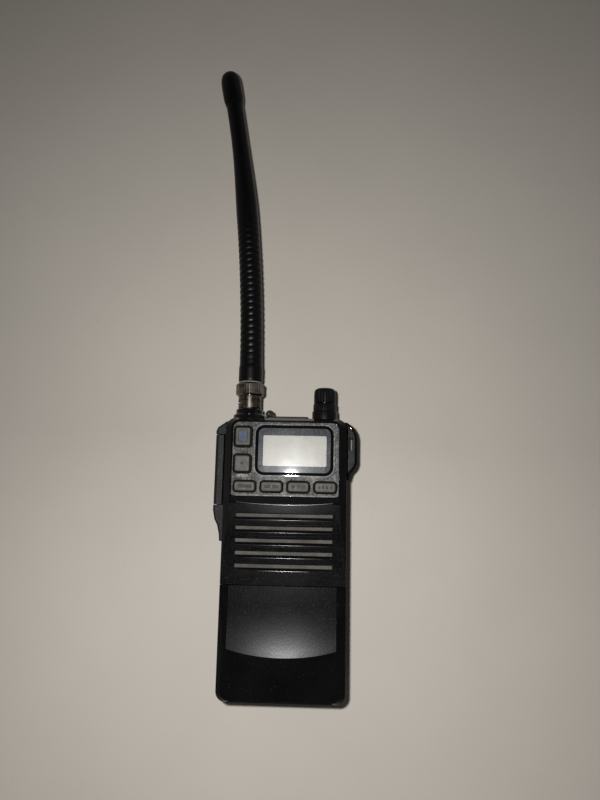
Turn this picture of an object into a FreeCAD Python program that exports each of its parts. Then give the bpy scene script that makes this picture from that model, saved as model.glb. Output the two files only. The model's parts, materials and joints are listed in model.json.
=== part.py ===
import FreeCAD, Part
import math
import os
import re

import Sketcher
from FreeCAD import Placement, Rotation, Vector

# A handheld marine radio, in millimetres, lying on its back.
# X runs across the case, Y along it towards the antenna, Z out of its front.
# The origin is the middle of the flat back.

SIZES = {
    # the case as a whole
    "body_width": (58.0, "width of radio and battery"),
    "body_length": (128.0, "length of radio and battery without top fittings"),
    "body_depth": (36.0, "depth at the highest part of the front"),
    "split_height": (24.0, "height of the joint between front and rear case"),
    "wall": (1.8, "wall of the mouldings"),
    "seam_place": (-13.3, "lower end of the radio, where the battery meets it"),
    "seam_gap": (0.3, "gap between radio and battery"),
    "corner_radius": (5.0, "top corners seen from the front"),
    "foot_radius": (4.5, "bottom corners seen from the front"),
    "back_radius": (4.8, "rounding along the back edges"),
    "side_chamfer": (4.1, "slope along both sides of the front"),
    "top_chamfer": (1.6, "slope at the top end of the front"),
    "foot_chamfer": (2.2, "slope at the bottom end of the front"),
    "roof_height": (31.0, "inner face of the front"),
    "roof_slope": (1.2, "inner slope beside the roof"),
    # the curved front
    "waist_height": (33.3, "front at the waist, on the centre line"),
    "waist_end": (-7.0, "where the waist starts to rise towards the crest"),
    "crest_place": (23.5, "crest above the speaker slots"),
    "front_crown": (339.0, "crown radius of radio front and scoop"),
    "plateau_crown": (190.0, "crown radius of the battery front"),
    "cheek_height": (34.1, "battery front beside the scoop at the seam"),
    "cheek_start": (-15.0, "where the battery cheeks start to rise"),
    "cheek_end": (-35.5, "where the battery cheeks reach full height"),
    "scoop_start": (-22.5, "where the scoop starts to rise"),
    "scoop_radius": (85.6, "radius of the scoop's lower end"),
    "scoop_width": (49.4, "width of the scoop"),
    # key panel, keys and display
    "panel_width": (50.8, "width of the key panel"),
    "panel_low": (26.9, "lower edge of the key panel"),
    "panel_high": (62.0, "upper edge of the key panel"),
    "panel_face": (33.6, "height of the key panel's face"),
    "panel_thickness": (1.0, "key panel"),
    "panel_radius": (3.6, "upper corners of the key panel"),
    "fit_gap": (0.2, "gap around pieces that sit in an opening"),
    "key_gap": (0.25, "gap around each key"),
    "key_top": (35.0, "height of the key tops"),
    "key_travel": (0.8, "how far a key goes in"),
    "key_flange": (0.7, "flange that keeps a key in"),
    "side_key_place": (-20.35, "middle of the two keys beside the display"),
    "side_key_width": (9.1, "opening of the keys beside the display"),
    "side_key_slope": (1.1, "sloped edge of the keys beside the display"),
    "upper_key_place": (54.75, "middle of the upper key"),
    "upper_key_length": (10.5, "opening of the upper key"),
    "lower_key_place": (42.0, "middle of the lower key"),
    "lower_key_length": (9.5, "opening of the lower key"),
    "row_key_place": (31.4, "middle of the row of four keys"),
    "row_key_pitch": (12.6, "pitch of the row of four keys"),
    "row_key_width": (11.3, "opening of a row key"),
    "row_key_length": (6.0, "opening of a row key"),
    "row_key_slope": (0.9, "sloped edge of a row key"),
    "key_radius": (2.0, "corner of a key opening"),
    "window_x": (4.1, "middle of the display window"),
    "window_place": (48.55, "middle of the display window"),
    "window_width": (36.8, "display window"),
    "window_length": (23.5, "display window"),
    "window_radius": (4.0, "corner of the display window"),
    "window_thickness": (1.1, "display window"),
    "glass_x": (4.25, "middle of the liquid crystal panel"),
    "glass_place": (48.35, "middle of the liquid crystal panel"),
    "glass_width": (34.4, "liquid crystal panel"),
    "glass_length": (18.4, "liquid crystal panel"),
    "glass_thickness": (1.6, "liquid crystal panel"),
    "view_width": (30.1, "visible part of the display"),
    "view_length": (14.5, "visible part of the display"),
    "sheet_thickness": (0.3, "printed frame and speaker cloth"),
    # speaker
    "slot_place": (6.7, "middle speaker slot and speaker"),
    "slot_pitch": (5.775, "pitch of the speaker slots"),
    "slot_count": (5, "number of speaker slots"),
    "slot_length": (45.0, "length of a speaker slot"),
    "slot_opening": (1.8, "height of a speaker slot"),
    "slot_floor": (32.0, "where the bevel below a slot starts"),
    "speaker_radius": (18.0, "speaker flange"),
    "basket_radius": (14.0, "speaker basket"),
    "magnet_radius": (11.0, "speaker magnet"),
    "magnet_height": (16.5, "back of the speaker magnet"),
    # boards
    "board_thickness": (1.6, "both circuit boards"),
    "board_gap": (0.8, "gap between a board and the wall"),
    "main_board_height": (24.6, "back face of the main board"),
    "main_board_low": (24.2, "lower edge of the main board"),
    "main_board_high": (61.4, "upper edge of the main board"),
    "rear_board_height": (9.0, "back face of the radio board"),
    "rear_board_low": (-5.5, "lower edge of the radio board"),
    "rear_board_high": (57.0, "upper edge of the radio board"),
    "shield_height": (4.8, "screening can"),
    "board_screw_radius": (0.85, "board screw shank"),
    # screws and inserts
    "screw_x": (25.2, "case screws from the centre line"),
    "screw_low": (-4.4, "lower case screws"),
    "screw_high": (23.0, "upper case screws"),
    "screw_radius": (1.15, "case screw shank"),
    "screw_head_radius": (2.0, "case screw head"),
    "screw_head_depth": (1.4, "case screw head"),
    "column_radius": (2.3, "screw column"),
    "clip_spacing": (24.0, "distance of the belt clip inserts"),
    "clip_place": (32.0, "place of the belt clip inserts along the radio"),
    "insert_bore": (1.5, "bore radius of a belt clip insert"),
    "insert_radius": (2.25, "outer radius of a belt clip insert"),
    "insert_depth": (5.2, "length of a belt clip insert"),
    # talk switch on the left side
    "ptt_low": (22.5, "lower end of the talk bar"),
    "ptt_high": (56.5, "upper end of the talk bar"),
    "ptt_outer": (6.2, "outer face of the talk bar from the side of the case"),
    "ptt_inner": (2.0, "inner face of the talk bar from the side of the case"),
    "ptt_back": (11.0, "back of the talk bar"),
    "ptt_front": (23.4, "front of the talk bar"),
    "ptt_slope": (1.4, "sloped outer edges of the talk bar"),
    "ptt_travel": (1.3, "how far the talk bar goes in"),
    "ptt_gap": (0.2, "gap at the ends of the talk bar"),
    "peg_radius": (1.5, "pegs behind the talk bar"),
    "peg_height": (17.0, "height of the pegs"),
    "peg_pitch": (13.0, "distance of the pegs"),
    "seal_thickness": (0.4, "rubber seal behind the talk bar"),
    # strap lug on the right side
    "lug_outer": (5.4, "outer edge of the strap lug from the side of the case"),
    "lug_back": (16.0, "back of the strap lug"),
    "lug_rim": (1.1, "raised rim of the strap lug"),
    "lug_recess": (0.5, "depth of the face inside the rim"),
    # top fittings
    "fitting_height": (17.5, "height of the top fittings above the back"),
    "antenna_x": (-19.6, "antenna connector"),
    "jack_radius": (4.8, "barrel of the antenna connector"),
    "jack_bore": (4.1, "bore of the antenna connector"),
    "jack_top": (77.0, "end of the connector's barrel"),
    "collar_radius": (8.0, "foot of the connector's collar"),
    "collar_height": (6.0, "connector's collar above the case"),
    "nut_radius": (6.3, "connector's nut over its corners"),
    "stud_radius": (1.0, "bayonet studs"),
    "stud_place": (73.4, "bayonet studs along the radio"),
    "stud_reach": (5.75, "bayonet studs from the axis"),
    "lock_low": (70.3, "lower end of the bayonet ring"),
    "lock_step": (76.7, "lower end of the knurled part"),
    "lock_high": (83.2, "upper end of the bayonet ring"),
    "lock_radius": (5.8, "skirt of the bayonet ring"),
    "knurl_radius": (7.15, "knurled part of the bayonet ring"),
    "lock_gap": (0.15, "gap inside the bayonet ring"),
    "lock_turn": (75.0, "turn of the bayonet ring in degrees"),
    "plug_radius": (4.0, "sleeve of the antenna plug"),
    "plug_shoulder": (4.25, "shoulder of the antenna plug"),
    "pin_radius": (0.65, "centre pin of the antenna plug"),
    "control_x": (18.5, "volume and squelch knobs"),
    "squelch_skirt": (6.3, "foot of the squelch ring"),
    "squelch_radius": (5.8, "squelch ring"),
    "squelch_step": (69.5, "top of the squelch ring's foot"),
    "squelch_top": (73.3, "top of the squelch ring"),
    "volume_radius": (5.5, "volume knob"),
    "volume_top": (81.2, "top of the volume knob"),
    "knob_gap": (0.3, "gap under each knob"),
    "squelch_shaft": (3.02, "outer shaft"),
    "volume_shaft": (1.52, "inner shaft"),
    "shaft_gap": (0.08, "running gap around the shafts"),
    "large_jack_x": (-4.5, "large audio socket"),
    "large_jack_bore": (1.78, "large audio socket"),
    "small_jack_x": (4.5, "small audio socket"),
    "small_jack_bore": (1.28, "small audio socket"),
    "nose_wall": (0.9, "wall of the audio sockets' noses"),
    "nose_depth": (0.65, "audio sockets' noses below the top of the case"),
    "cover_low": (-11.0, "left end of the rubber socket cover"),
    "cover_high": (10.5, "right end of the rubber socket cover"),
    "cover_thickness": (2.0, "rubber socket cover"),
    "cover_depth": (11.6, "rubber socket cover from back to front"),
    "loop_x": (-9.3, "middle of the cover's pull loop"),
    "loop_radius": (1.4, "pull loop, middle of its ring"),
    "loop_thickness": (0.65, "pull loop, radius of its ring"),
    # antenna
    "antenna_base": (84.0, "lower end of the rubber sleeve"),
    "antenna_bend": (870.0, "radius of the bent antenna's centre line"),
    "sleeve_radius": (5.85, "rubber sleeve"),
    "boot_radius": (6.1, "foot of the rubber sleeve"),
    "boot_length": (9.0, "foot of the rubber sleeve"),
    "taper_start": (88.0, "where the sleeve starts to taper"),
    "taper_end": (138.0, "where the taper ends"),
    "thin_radius": (4.5, "sleeve beyond the taper"),
    "sleeve_length": (157.0, "length of the sleeve along its centre line"),
    "tip_length": (20.0, "cap at the antenna's end"),
    "tip_radius": (5.5, "cap at the antenna's end"),
    "core_radius": (1.9, "glass fibre core"),
    "coil_bore": (4.2, "bore of the sleeve around the coil"),
    "coil_length": (60.0, "antenna coil"),
    "coil_radius": (3.1, "antenna coil, middle of the wire"),
    "coil_pitch": (3.0, "antenna coil"),
    "coil_wire": (0.4, "radius of the coil's wire"),
    "neck_length": (11.0, "plug inside the sleeve"),
    # battery
    "rail_low": (6.5, "lower edge of the battery rail's head"),
    "rail_high": (19.5, "upper edge of the battery rail's head"),
    "rail_lip": (2.5, "overhang of the battery rail's head"),
    "rail_neck": (2.1, "height of the rail's neck above the seam"),
    "rail_head": (2.0, "thickness of the rail's head"),
    "rail_left": (-20.6, "left end of the rail"),
    "slide_gap": (0.2, "gap around the rail"),
    "plate_depth": (5.5, "rail plate"),
    "plate_low": (3.7, "lower edge of the rail plate"),
    "plate_high": (21.3, "upper edge of the rail plate"),
    "lid_height": (8.0, "joint between battery case and its lid"),
    "lid_gap": (0.1, "gap at the lid"),
    "cell_radius": (7.1, "dry cell"),
    "cell_length": (50.3, "dry cell with its cap"),
    "cell_cap": (1.0, "raised cap of a dry cell"),
    "cell_pitch": (14.9, "pitch of the rows of cells"),
    "layer_pitch": (14.4, "pitch of the two layers of cells"),
    "cell_floor": (1.9, "underside of the lower cells"),
    "contact_thickness": (0.3, "contact plates"),
    "contact_x": (-17.0, "middle of the three power contacts"),
    "contact_pitch": (3.0, "pitch of the power contacts"),
    "contact_height": (28.0, "height of the power contacts"),
    "pin_gap": (0.05, "gap between spring pin and pad"),
    "release_low": (-2.4, "lower end of the release button"),
    "release_high": (2.4, "upper end of the release button"),
    "release_back": (13.7, "back of the release button"),
    "release_front": (19.3, "front of the release button"),
    "release_travel": (2.5, "travel of the release button"),
    "release_ridge": (0.7, "height of its ridge"),
    "tongue_x": (-22.0, "tongue of the release button"),
}

DOC = FreeCAD.newDocument("marine_radio")
NAMES = re.compile(r"\b(" + "|".join(SIZES) + r")\b")
NODES = []

# Places that several pieces share, as formulas of the sizes.
TOP = "(body_length / 2)"
FOOT = "(-body_length / 2)"
HALF = "(body_width / 2)"
INNER = "(body_width / 2 - wall)"
BAR_OUTER = "(-body_width / 2 - ptt_outer)"
BAR_INNER = "(-body_width / 2 - ptt_inner)"
LUG_EDGE = "(body_width / 2 + lug_outer)"
SHOULDER = "(body_depth - side_chamfer)"
BATTERY_TOP = "(seam_place - seam_gap)"
PANEL_FLOOR = "(panel_face - panel_thickness)"
MAT_BACK = "(main_board_height + board_thickness + 0.1)"
MAT_TOP = "(main_board_height + board_thickness + 1.3)"
KEY_FOOT = "(roof_height - 1.5)"
REAR_BOARD_TOP = "(rear_board_height + board_thickness)"


# ---------------------------------------------------------------- the sheet

def make_sheet():
    """Spreadsheet with one named cell for each size."""
    sheet = DOC.addObject("Spreadsheet::Sheet", "Sizes")
    for row, (name, (size, meaning)) in enumerate(SIZES.items(), start=1):
        sheet.set(f"A{row}", meaning)
        sheet.set(f"B{row}", str(size))
        sheet.setAlias(f"B{row}", name)
    DOC.recompute()
    return sheet


SHEET = make_sheet()


def formula(text):
    """A formula written with bare size names, as the sheet's own formula."""
    return NAMES.sub(r"Sizes.\1", str(text))


def value(text):
    """Number that a formula has now."""
    result = SHEET.evalExpression(formula(text))
    return float(getattr(result, "Value", result))


def bind(item, field, text):
    item.setExpression(field, formula(text))


def place(item, x, y, z):
    for side, text in zip("xyz", (x, y, z)):
        bind(item, ".Placement.Base." + side, text)


def keep(label, item):
    """Names a finished sub-part and lists it for writing."""
    item.Label = label
    NODES.append(item)
    return item


# ---------------------------------------------------------------- primitives

TURN_TO = {
    "x": Rotation(Vector(0, 1, 0), 90),
    "y": Rotation(Vector(1, 0, 0), -90),
    "z": Rotation(),
}


def box(name, x, y, z):
    """Box between a low and a high formula along each axis."""
    solid = DOC.addObject("Part::Box", name)
    for field, (low, high) in zip(("Length", "Width", "Height"), (x, y, z)):
        bind(solid, field, f"({high}) - ({low})")
    place(solid, x[0], y[0], z[0])
    return solid


def set_along(solid, axis, centre, low):
    """Turns a solid of revolution to an axis and puts its foot in place."""
    solid.Placement = Placement(Vector(), TURN_TO[axis])
    spot = list(centre)
    spot.insert("xyz".index(axis), low)
    place(solid, *spot)


def rod(name, axis, radius, centre, span):
    """Cylinder along an axis, centred on the two other coordinates."""
    solid = DOC.addObject("Part::Cylinder", name)
    bind(solid, "Radius", radius)
    bind(solid, "Height", f"({span[1]}) - ({span[0]})")
    set_along(solid, axis, centre, span[0])
    return solid


def hexagon(name, axis, radius, centre, span):
    """Six-sided bar along an axis, with its radius over the corners."""
    solid = DOC.addObject("Part::Prism", name)
    solid.Polygon = 6
    bind(solid, "Circumradius", radius)
    bind(solid, "Height", f"({span[1]}) - ({span[0]})")
    set_along(solid, axis, centre, span[0])
    return solid


def fuse(name, *pieces):
    solid = DOC.addObject("Part::MultiFuse", name)
    solid.Shapes = list(pieces)
    return solid


def group(name, *pieces):
    """Separate solids that share one node."""
    pack = DOC.addObject("Part::Compound", name)
    pack.Links = list(pieces)
    return pack


def cut(name, base, *tools):
    solid = DOC.addObject("Part::Cut", name)
    solid.Base = base
    solid.Tool = tools[0] if len(tools) == 1 else fuse(name + "_tools", *tools)
    return solid


# ---------------------------------------------------------------- sketches

def new_body(name):
    body = DOC.addObject("PartDesign::Body", name)
    DOC.recompute()
    return body


def origin_part(body, role):
    return next(item for item in body.Origin.OriginFeatures if item.Role == role)


def sketch_on(body, role, height="0"):
    """Sketch on one of the body's own planes, moved along that plane's normal."""
    sketch = body.newObject("Sketcher::SketchObject", "Sketch")
    sketch.AttachmentSupport = [(origin_part(body, role), "")]
    sketch.MapMode = "FlatFace"
    bind(sketch, ".AttachmentOffset.Base.z", height)
    return sketch


def level(body, height):
    return sketch_on(body, "XY_Plane", height)


def upright(body, place_y):
    """Sketch across the case at a place along it: its axes are X and Z."""
    return sketch_on(body, "XZ_Plane", f"-({place_y})")


def lengthwise(body, place_x):
    """Sketch along the case at a place across it: its axes are Y and Z."""
    return sketch_on(body, "YZ_Plane", place_x)


def dimension(sketch, kind, first, second, text):
    """Distance between two sketch points, bound to a formula."""
    number = sketch.addConstraint(Sketcher.Constraint(kind, *first, *second, value(text)))
    bind(sketch, f"Constraints[{number}]", text)


def pin_point(sketch, line, point, x, y):
    """Ties a point of a line to its two coordinates."""
    dimension(sketch, "DistanceX", (-1, 1), (line, point), x)
    dimension(sketch, "DistanceY", (-1, 1), (line, point), y)


def polygon(sketch, corners):
    """Closed outline of straight lines through corners given as formulas."""
    spots = [Vector(value(x), value(y), 0) for x, y in corners]
    first = sketch.GeometryCount
    count = len(spots)
    for step, spot in enumerate(spots):
        sketch.addGeometry(Part.LineSegment(spot, spots[(step + 1) % count]), False)
    for step, (x, y) in enumerate(corners):
        follower = first + (step + 1) % count
        sketch.addConstraint(Sketcher.Constraint("Coincident", first + step, 2, follower, 1))
        pin_point(sketch, first + step, 1, x, y)


def disc(sketch, radius, x, y):
    centre = Vector(value(x), value(y), 0)
    number = sketch.addGeometry(Part.Circle(centre, Vector(0, 0, 1), value(radius)), False)
    rule = sketch.addConstraint(Sketcher.Constraint("Radius", number, value(radius)))
    bind(sketch, f"Constraints[{rule}]", radius)
    pin_point(sketch, number, 3, x, y)


def arc(centre, radius, start, end):
    circle = Part.Circle(centre, Vector(0, 0, 1), radius)
    return Part.ArcOfCircle(circle, math.radians(start), math.radians(end))


def rectangle(sketch, x, y, low_radius=None, high_radius=None):
    """Rectangle whose lower and upper corners are rounded, or sharp without a radius."""
    left, right = value(x[0]), value(x[1])
    low, high = value(y[0]), value(y[1])
    small = value(low_radius) if low_radius else 0.0
    large = value(high_radius) if high_radius else 0.0
    first = sketch.GeometryCount
    sides = (
        (Vector(left + small, low, 0), Vector(right - small, low, 0)),
        (Vector(right, low + small, 0), Vector(right, high - large, 0)),
        (Vector(right - large, high, 0), Vector(left + large, high, 0)),
        (Vector(left, high - large, 0), Vector(left, low + small, 0)),
    )
    for start, end in sides:
        sketch.addGeometry(Part.LineSegment(start, end), False)
    corners = (
        (0, 1, low_radius, right - small, low + small, 270),
        (1, 2, high_radius, right - large, high - large, 0),
        (2, 3, high_radius, left + large, high - large, 90),
        (3, 0, low_radius, left + small, low + small, 180),
    )
    for before, after, radius, centre_x, centre_y, start in corners:
        if not radius:
            rule = Sketcher.Constraint("Coincident", first + before, 2, first + after, 1)
            sketch.addConstraint(rule)
            continue
        bend = arc(Vector(centre_x, centre_y, 0), value(radius), start, start + 90)
        number = sketch.addGeometry(bend, False)
        sketch.addConstraint(Sketcher.Constraint("Tangent", first + before, 2, number, 1))
        sketch.addConstraint(Sketcher.Constraint("Tangent", number, 2, first + after, 1))
        rule = sketch.addConstraint(Sketcher.Constraint("Radius", number, value(radius)))
        bind(sketch, f"Constraints[{rule}]", radius)
    for side, rule in enumerate(("Horizontal", "Vertical", "Horizontal", "Vertical")):
        sketch.addConstraint(Sketcher.Constraint(rule, first + side))
    dimension(sketch, "DistanceX", (-1, 1), (first + 3, 1), x[0])
    dimension(sketch, "DistanceX", (-1, 1), (first + 1, 1), x[1])
    dimension(sketch, "DistanceY", (-1, 1), (first, 1), y[0])
    dimension(sketch, "DistanceY", (-1, 1), (first + 2, 1), y[1])


# ---------------------------------------------------------------- features

def feature(body, kind, sketch):
    item = body.newObject("PartDesign::" + kind, kind)
    item.Profile = sketch
    return item


def pad(body, sketch, length):
    """Adds material along the sketch's normal."""
    item = feature(body, "Pad", sketch)
    bind(item, "Length", length)
    return item


def pocket(body, sketch, length, along_normal=True):
    """Removes material along the sketch's normal, or against it."""
    item = feature(body, "Pocket", sketch)
    item.Reversed = along_normal
    bind(item, "Length", length)
    return item


def loft(body, kind, lower, upper):
    """Straight loft between two sketches, added or removed."""
    item = feature(body, kind, lower)
    item.Sections = [upper]
    item.Ruled = True
    return item


def soften(body, kind, field, size, wanted):
    """Fillet or chamfer on the edges that a test picks."""
    DOC.recompute()
    base = body.Tip
    names = [f"Edge{number}" for number, edge in enumerate(base.Shape.Edges, start=1)
             if wanted(edge)]
    item = body.newObject("PartDesign::" + kind, kind)
    item.Base = (base, names)
    bind(item, field, size)
    return item


def fillet(body, radius, wanted):
    return soften(body, "Fillet", "Radius", radius, wanted)


def chamfer(body, size, wanted):
    return soften(body, "Chamfer", "Size", size, wanted)


def at_height(height):
    """Test for edges that lie flat at a height."""
    target = value(height)
    return lambda edge: (abs(edge.BoundBox.ZMin - target) < 1e-4
                         and abs(edge.BoundBox.ZMax - target) < 1e-4)


def repeat_round(body, item, count):
    """Repeats a feature round the body's own Y axis."""
    pattern = body.newObject("PartDesign::PolarPattern", "PolarPattern")
    pattern.Originals = [item]
    pattern.Axis = (origin_part(body, "Y_Axis"), [""])
    pattern.Angle = 360
    pattern.Occurrences = count
    body.Tip = pattern
    return pattern


def turned(name, outline, x, y, z, axis="y"):
    """Body turned about an axis, from corners given as radius and place along it."""
    body = new_body(name)
    sketch = level(body, "0")
    polygon(sketch, outline)
    item = feature(body, "Revolution", sketch)
    item.ReferenceAxis = (origin_part(body, "Y_Axis"), [""])
    item.Angle = 360
    if axis == "z":
        body.Placement = Placement(Vector(), Rotation(Vector(1, 0, 0), 90))
    place(body, x, y, z)
    return body


def crown_cut(body, crown, half_width, height, start, spine_parts):
    """Cuts the front down to a crowned surface that follows a spine along the case."""
    ceiling = "body_depth + 4"
    radius, half, top = value(crown), value(half_width), value(ceiling)
    centre = Vector(0, value(height) - radius, 0)
    lean = math.degrees(math.asin(half / radius))
    profile = upright(body, start)
    profile.addGeometry(arc(centre, radius, 90 - lean, 90 + lean), False)
    edge = centre.y + radius * math.cos(math.radians(lean))
    corners = (Vector(-half, edge, 0), Vector(-half, top, 0),
               Vector(half, top, 0), Vector(half, edge, 0))
    for low, high in zip(corners, corners[1:]):
        profile.addGeometry(Part.LineSegment(low, high), False)
    for first, second in ((0, 1), (1, 2), (2, 3), (3, 0)):
        profile.addConstraint(Sketcher.Constraint("Coincident", first, 2, second, 1))
    profile.addConstraint(Sketcher.Constraint("Vertical", 1))
    profile.addConstraint(Sketcher.Constraint("Vertical", 3))
    profile.addConstraint(Sketcher.Constraint("Horizontal", 2))
    profile.addConstraint(Sketcher.Constraint("PointOnObject", 0, 3, -2))
    rule = profile.addConstraint(Sketcher.Constraint("Radius", 0, radius))
    bind(profile, f"Constraints[{rule}]", crown)
    dimension(profile, "DistanceX", (-1, 1), (2, 2), half_width)
    dimension(profile, "DistanceX", (-1, 1), (2, 1), f"-({half_width})")
    dimension(profile, "DistanceY", (-1, 1), (2, 1), ceiling)
    dimension(profile, "DistanceY", (-1, 1), (0, 3), f"({height}) - ({crown})")
    spine = lengthwise(body, "0")
    for part in spine_parts:
        spine.addGeometry(part, False)
    item = feature(body, "SubtractivePipe", profile)
    item.Spine = (spine, [f"Edge{number + 1}" for number in range(len(spine_parts))])
    item.Mode = "Fixed"
    return item


def rise(start, end, low, high):
    """Two tangent arcs that rise from one height to another, as sketch geometry."""
    run = abs(end - start)
    way = math.copysign(1.0, end - start)
    lift = high - low
    radius = (run * run + lift * lift) / (4 * lift)
    lean = math.degrees(math.asin(run / (2 * radius)))
    hollow = Vector(start, low + radius, 0)
    hump = Vector(end, high - radius, 0)
    if way > 0:
        return (arc(hollow, radius, 270, 270 + lean), arc(hump, radius, 90, 90 + lean))
    return (arc(hollow, radius, 270 - lean, 270), arc(hump, radius, 90 - lean, 90))


def straight(start, end, height):
    return Part.LineSegment(Vector(start, height, 0), Vector(end, height, 0))


# ---------------------------------------------------------------- shared outlines

def side_span(inset):
    return (f"-({HALF} - ({inset}))", f"{HALF} - ({inset})")


def key_openings(sketch, shrink):
    """Openings of the six keys, each side moved in by shrink."""
    for key in KEYS.values():
        rectangle(sketch, span(key["x"], key["width"], shrink),
                  span(key["y"], key["length"], shrink), "key_radius", "key_radius")


def span(middle, size, shrink="0"):
    """Low and high formula about a middle."""
    return (f"({middle}) - ({size}) / 2 + ({shrink})", f"({middle}) + ({size}) / 2 - ({shrink})")


KEYS = {
    "upper_key": {"x": "side_key_place", "y": "upper_key_place", "slope": "side_key_slope",
                  "width": "side_key_width", "length": "upper_key_length"},
    "lower_key": {"x": "side_key_place", "y": "lower_key_place", "slope": "side_key_slope",
                  "width": "side_key_width", "length": "lower_key_length"},
}
for number, label in enumerate(("first", "second", "third", "fourth")):
    KEYS[label + "_row_key"] = {
        "x": f"row_key_pitch * {number - 1.5}", "y": "row_key_place",
        "slope": "row_key_slope", "width": "row_key_width", "length": "row_key_length"}

SCREW_SPOTS = [(side + "screw_x", spot) for side in ("-", "") for spot in ("screw_low", "screw_high")]
MAIN_BOARD_SPOTS = (("24.5", "45"), ("24.5", "57.6"), ("-12.6", "26.1"), ("12.6", "26.1"))
REAR_BOARD_SPOTS = (("-21.5", "6"), ("21.5", "2"), ("-21.5", "51.5"), ("21.5", "46.5"))
PEG_SPOTS = tuple(f"(ptt_low + ptt_high) / 2 + peg_pitch * {step}" for step in (-1, 0, 1))
STEM = ("(rail_low + rail_lip)", "(rail_high - rail_lip)")


def rail_outline(grow, low):
    """Cross-section of the battery rail, each side moved out by grow."""
    neck = f"seam_place + rail_neck - ({grow})"
    head = f"seam_place + rail_neck + rail_head + ({grow})"
    return (
        (low, f"{STEM[0]} - ({grow})"), (neck, f"{STEM[0]} - ({grow})"),
        (neck, f"rail_low - ({grow})"), (head, f"rail_low - ({grow})"),
        (head, f"rail_high + ({grow})"), (neck, f"rail_high + ({grow})"),
        (neck, f"{STEM[1]} + ({grow})"), (low, f"{STEM[1]} + ({grow})"),
    )


# ---------------------------------------------------------------- radio case

def make_front_case():
    body = new_body("FrontCase")
    ends = ("seam_place", TOP)
    lower = level(body, "split_height")
    rectangle(lower, side_span("0"), ends, None, "corner_radius")
    pad(body, lower, f"{SHOULDER} - split_height")
    shoulder = level(body, SHOULDER)
    rectangle(shoulder, side_span("0"), ends, None, "corner_radius")
    crest = level(body, "body_depth")
    rectangle(crest, side_span("side_chamfer"), ("seam_place", f"{TOP} - top_chamfer"),
              None, "corner_radius - 2")
    loft(body, "AdditiveLoft", shoulder, crest)
    start, end = value("waist_end"), value("crest_place")
    low, high = value("waist_height"), value("body_depth")
    spine = (straight(value("seam_place - 2"), start, low), *rise(start, end, low, high),
             straight(end, value(TOP) + 2, high))
    crown_cut(body, "front_crown", f"{HALF} + 3", "waist_height", "seam_place - 2", spine)
    hollow_front(body)
    open_panel(body)
    open_slots(body)
    add_front_bosses(body)
    holes = upright(body, "seam_place - 1")
    for step in (-1, 0, 1):
        disc(holes, "1.1", f"contact_x + contact_pitch * {step}", "contact_height")
    pocket(body, holes, "wall + 1.2", along_normal=False)
    return keep("front_case", body)


def hollow_front(body):
    """Space inside the front case, with sloped edges beside its roof."""
    ends = ("seam_place + wall", f"{TOP} - wall")
    floor = level(body, "split_height")
    rectangle(floor, side_span("wall"), ends, None, "corner_radius - wall")
    pocket(body, floor, "roof_height - roof_slope - split_height")
    lower = level(body, "roof_height - roof_slope")
    rectangle(lower, side_span("wall"), ends, None, "corner_radius - wall")
    upper = level(body, "roof_height")
    rectangle(upper, side_span("wall + roof_slope"), ("seam_place + wall", f"{TOP} - wall - 0.5"),
              None, "corner_radius - wall - 1")
    loft(body, "SubtractiveLoft", lower, upper)


def open_panel(body):
    """Recess for the key panel, its slope at the crest, and the openings in its floor."""
    across = span("0", "panel_width")
    recess = level(body, PANEL_FLOOR)
    rectangle(recess, across, ("panel_low", "panel_high"), "fit_gap + 0.8", "panel_radius")
    pocket(body, recess, f"body_depth + 1 - {PANEL_FLOOR}")
    slope = lengthwise(body, across[0])
    polygon(slope, (("crest_place", "body_depth"), ("panel_low", "panel_face"),
                    ("panel_low + 1", "panel_face"), ("panel_low + 1", "body_depth + 2"),
                    ("crest_place", "body_depth + 2")))
    pocket(body, slope, "panel_width")
    openings = level(body, "roof_height - 0.5")
    rectangle(openings, span("glass_x", "glass_width", "-fit_gap - 0.1"),
              span("glass_place", "glass_length", "-fit_gap - 0.1"), "0.4", "0.4")
    key_openings(openings, "0")
    pocket(body, openings, "body_depth - roof_height")


def open_slots(body):
    """Speaker slots: an opening with a bevel below it, repeated along the waist."""
    low = "slot_place - slot_pitch * (slot_count - 1) / 2"
    slot = lengthwise(body, "-slot_length / 2")
    polygon(slot, ((f"{low} + slot_opening / 2", "body_depth + 3"),
                   (f"{low} + slot_opening / 2", "roof_height - 0.5"),
                   (f"{low} - slot_opening / 2", "roof_height - 0.5"),
                   (f"{low} - slot_opening / 2", "slot_floor"),
                   (f"{low} - slot_opening / 2 - (body_depth + 3 - slot_floor)", "body_depth + 3")))
    opening = pocket(body, slot, "slot_length")
    pattern = body.newObject("PartDesign::LinearPattern", "LinearPattern")
    pattern.Originals = [opening]
    pattern.Direction = (origin_part(body, "Y_Axis"), [""])
    bind(pattern, "Length", "slot_pitch * (slot_count - 1)")
    bind(pattern, "Occurrences", "slot_count")
    body.Tip = pattern


def add_front_bosses(body):
    """Bosses for the case screws and the main board's screws, with their holes."""
    columns = level(body, "split_height")
    for x, y in SCREW_SPOTS:
        disc(columns, "column_radius", x, y)
    pad(body, columns, "roof_height + 0.4 - split_height")
    stands = level(body, "main_board_height + board_thickness")
    for x, y in MAIN_BOARD_SPOTS:
        disc(stands, "1.6", x, y)
    pad(body, stands, "roof_height + 0.4 - main_board_height - board_thickness")
    screws = level(body, "split_height")
    for x, y in SCREW_SPOTS:
        disc(screws, "screw_radius + 0.05", x, y)
    pocket(body, screws, "5.5")
    board_screws = level(body, "main_board_height")
    for x, y in MAIN_BOARD_SPOTS:
        disc(board_screws, "board_screw_radius + 0.05", x, y)
    pocket(body, board_screws, "5.2")


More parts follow.
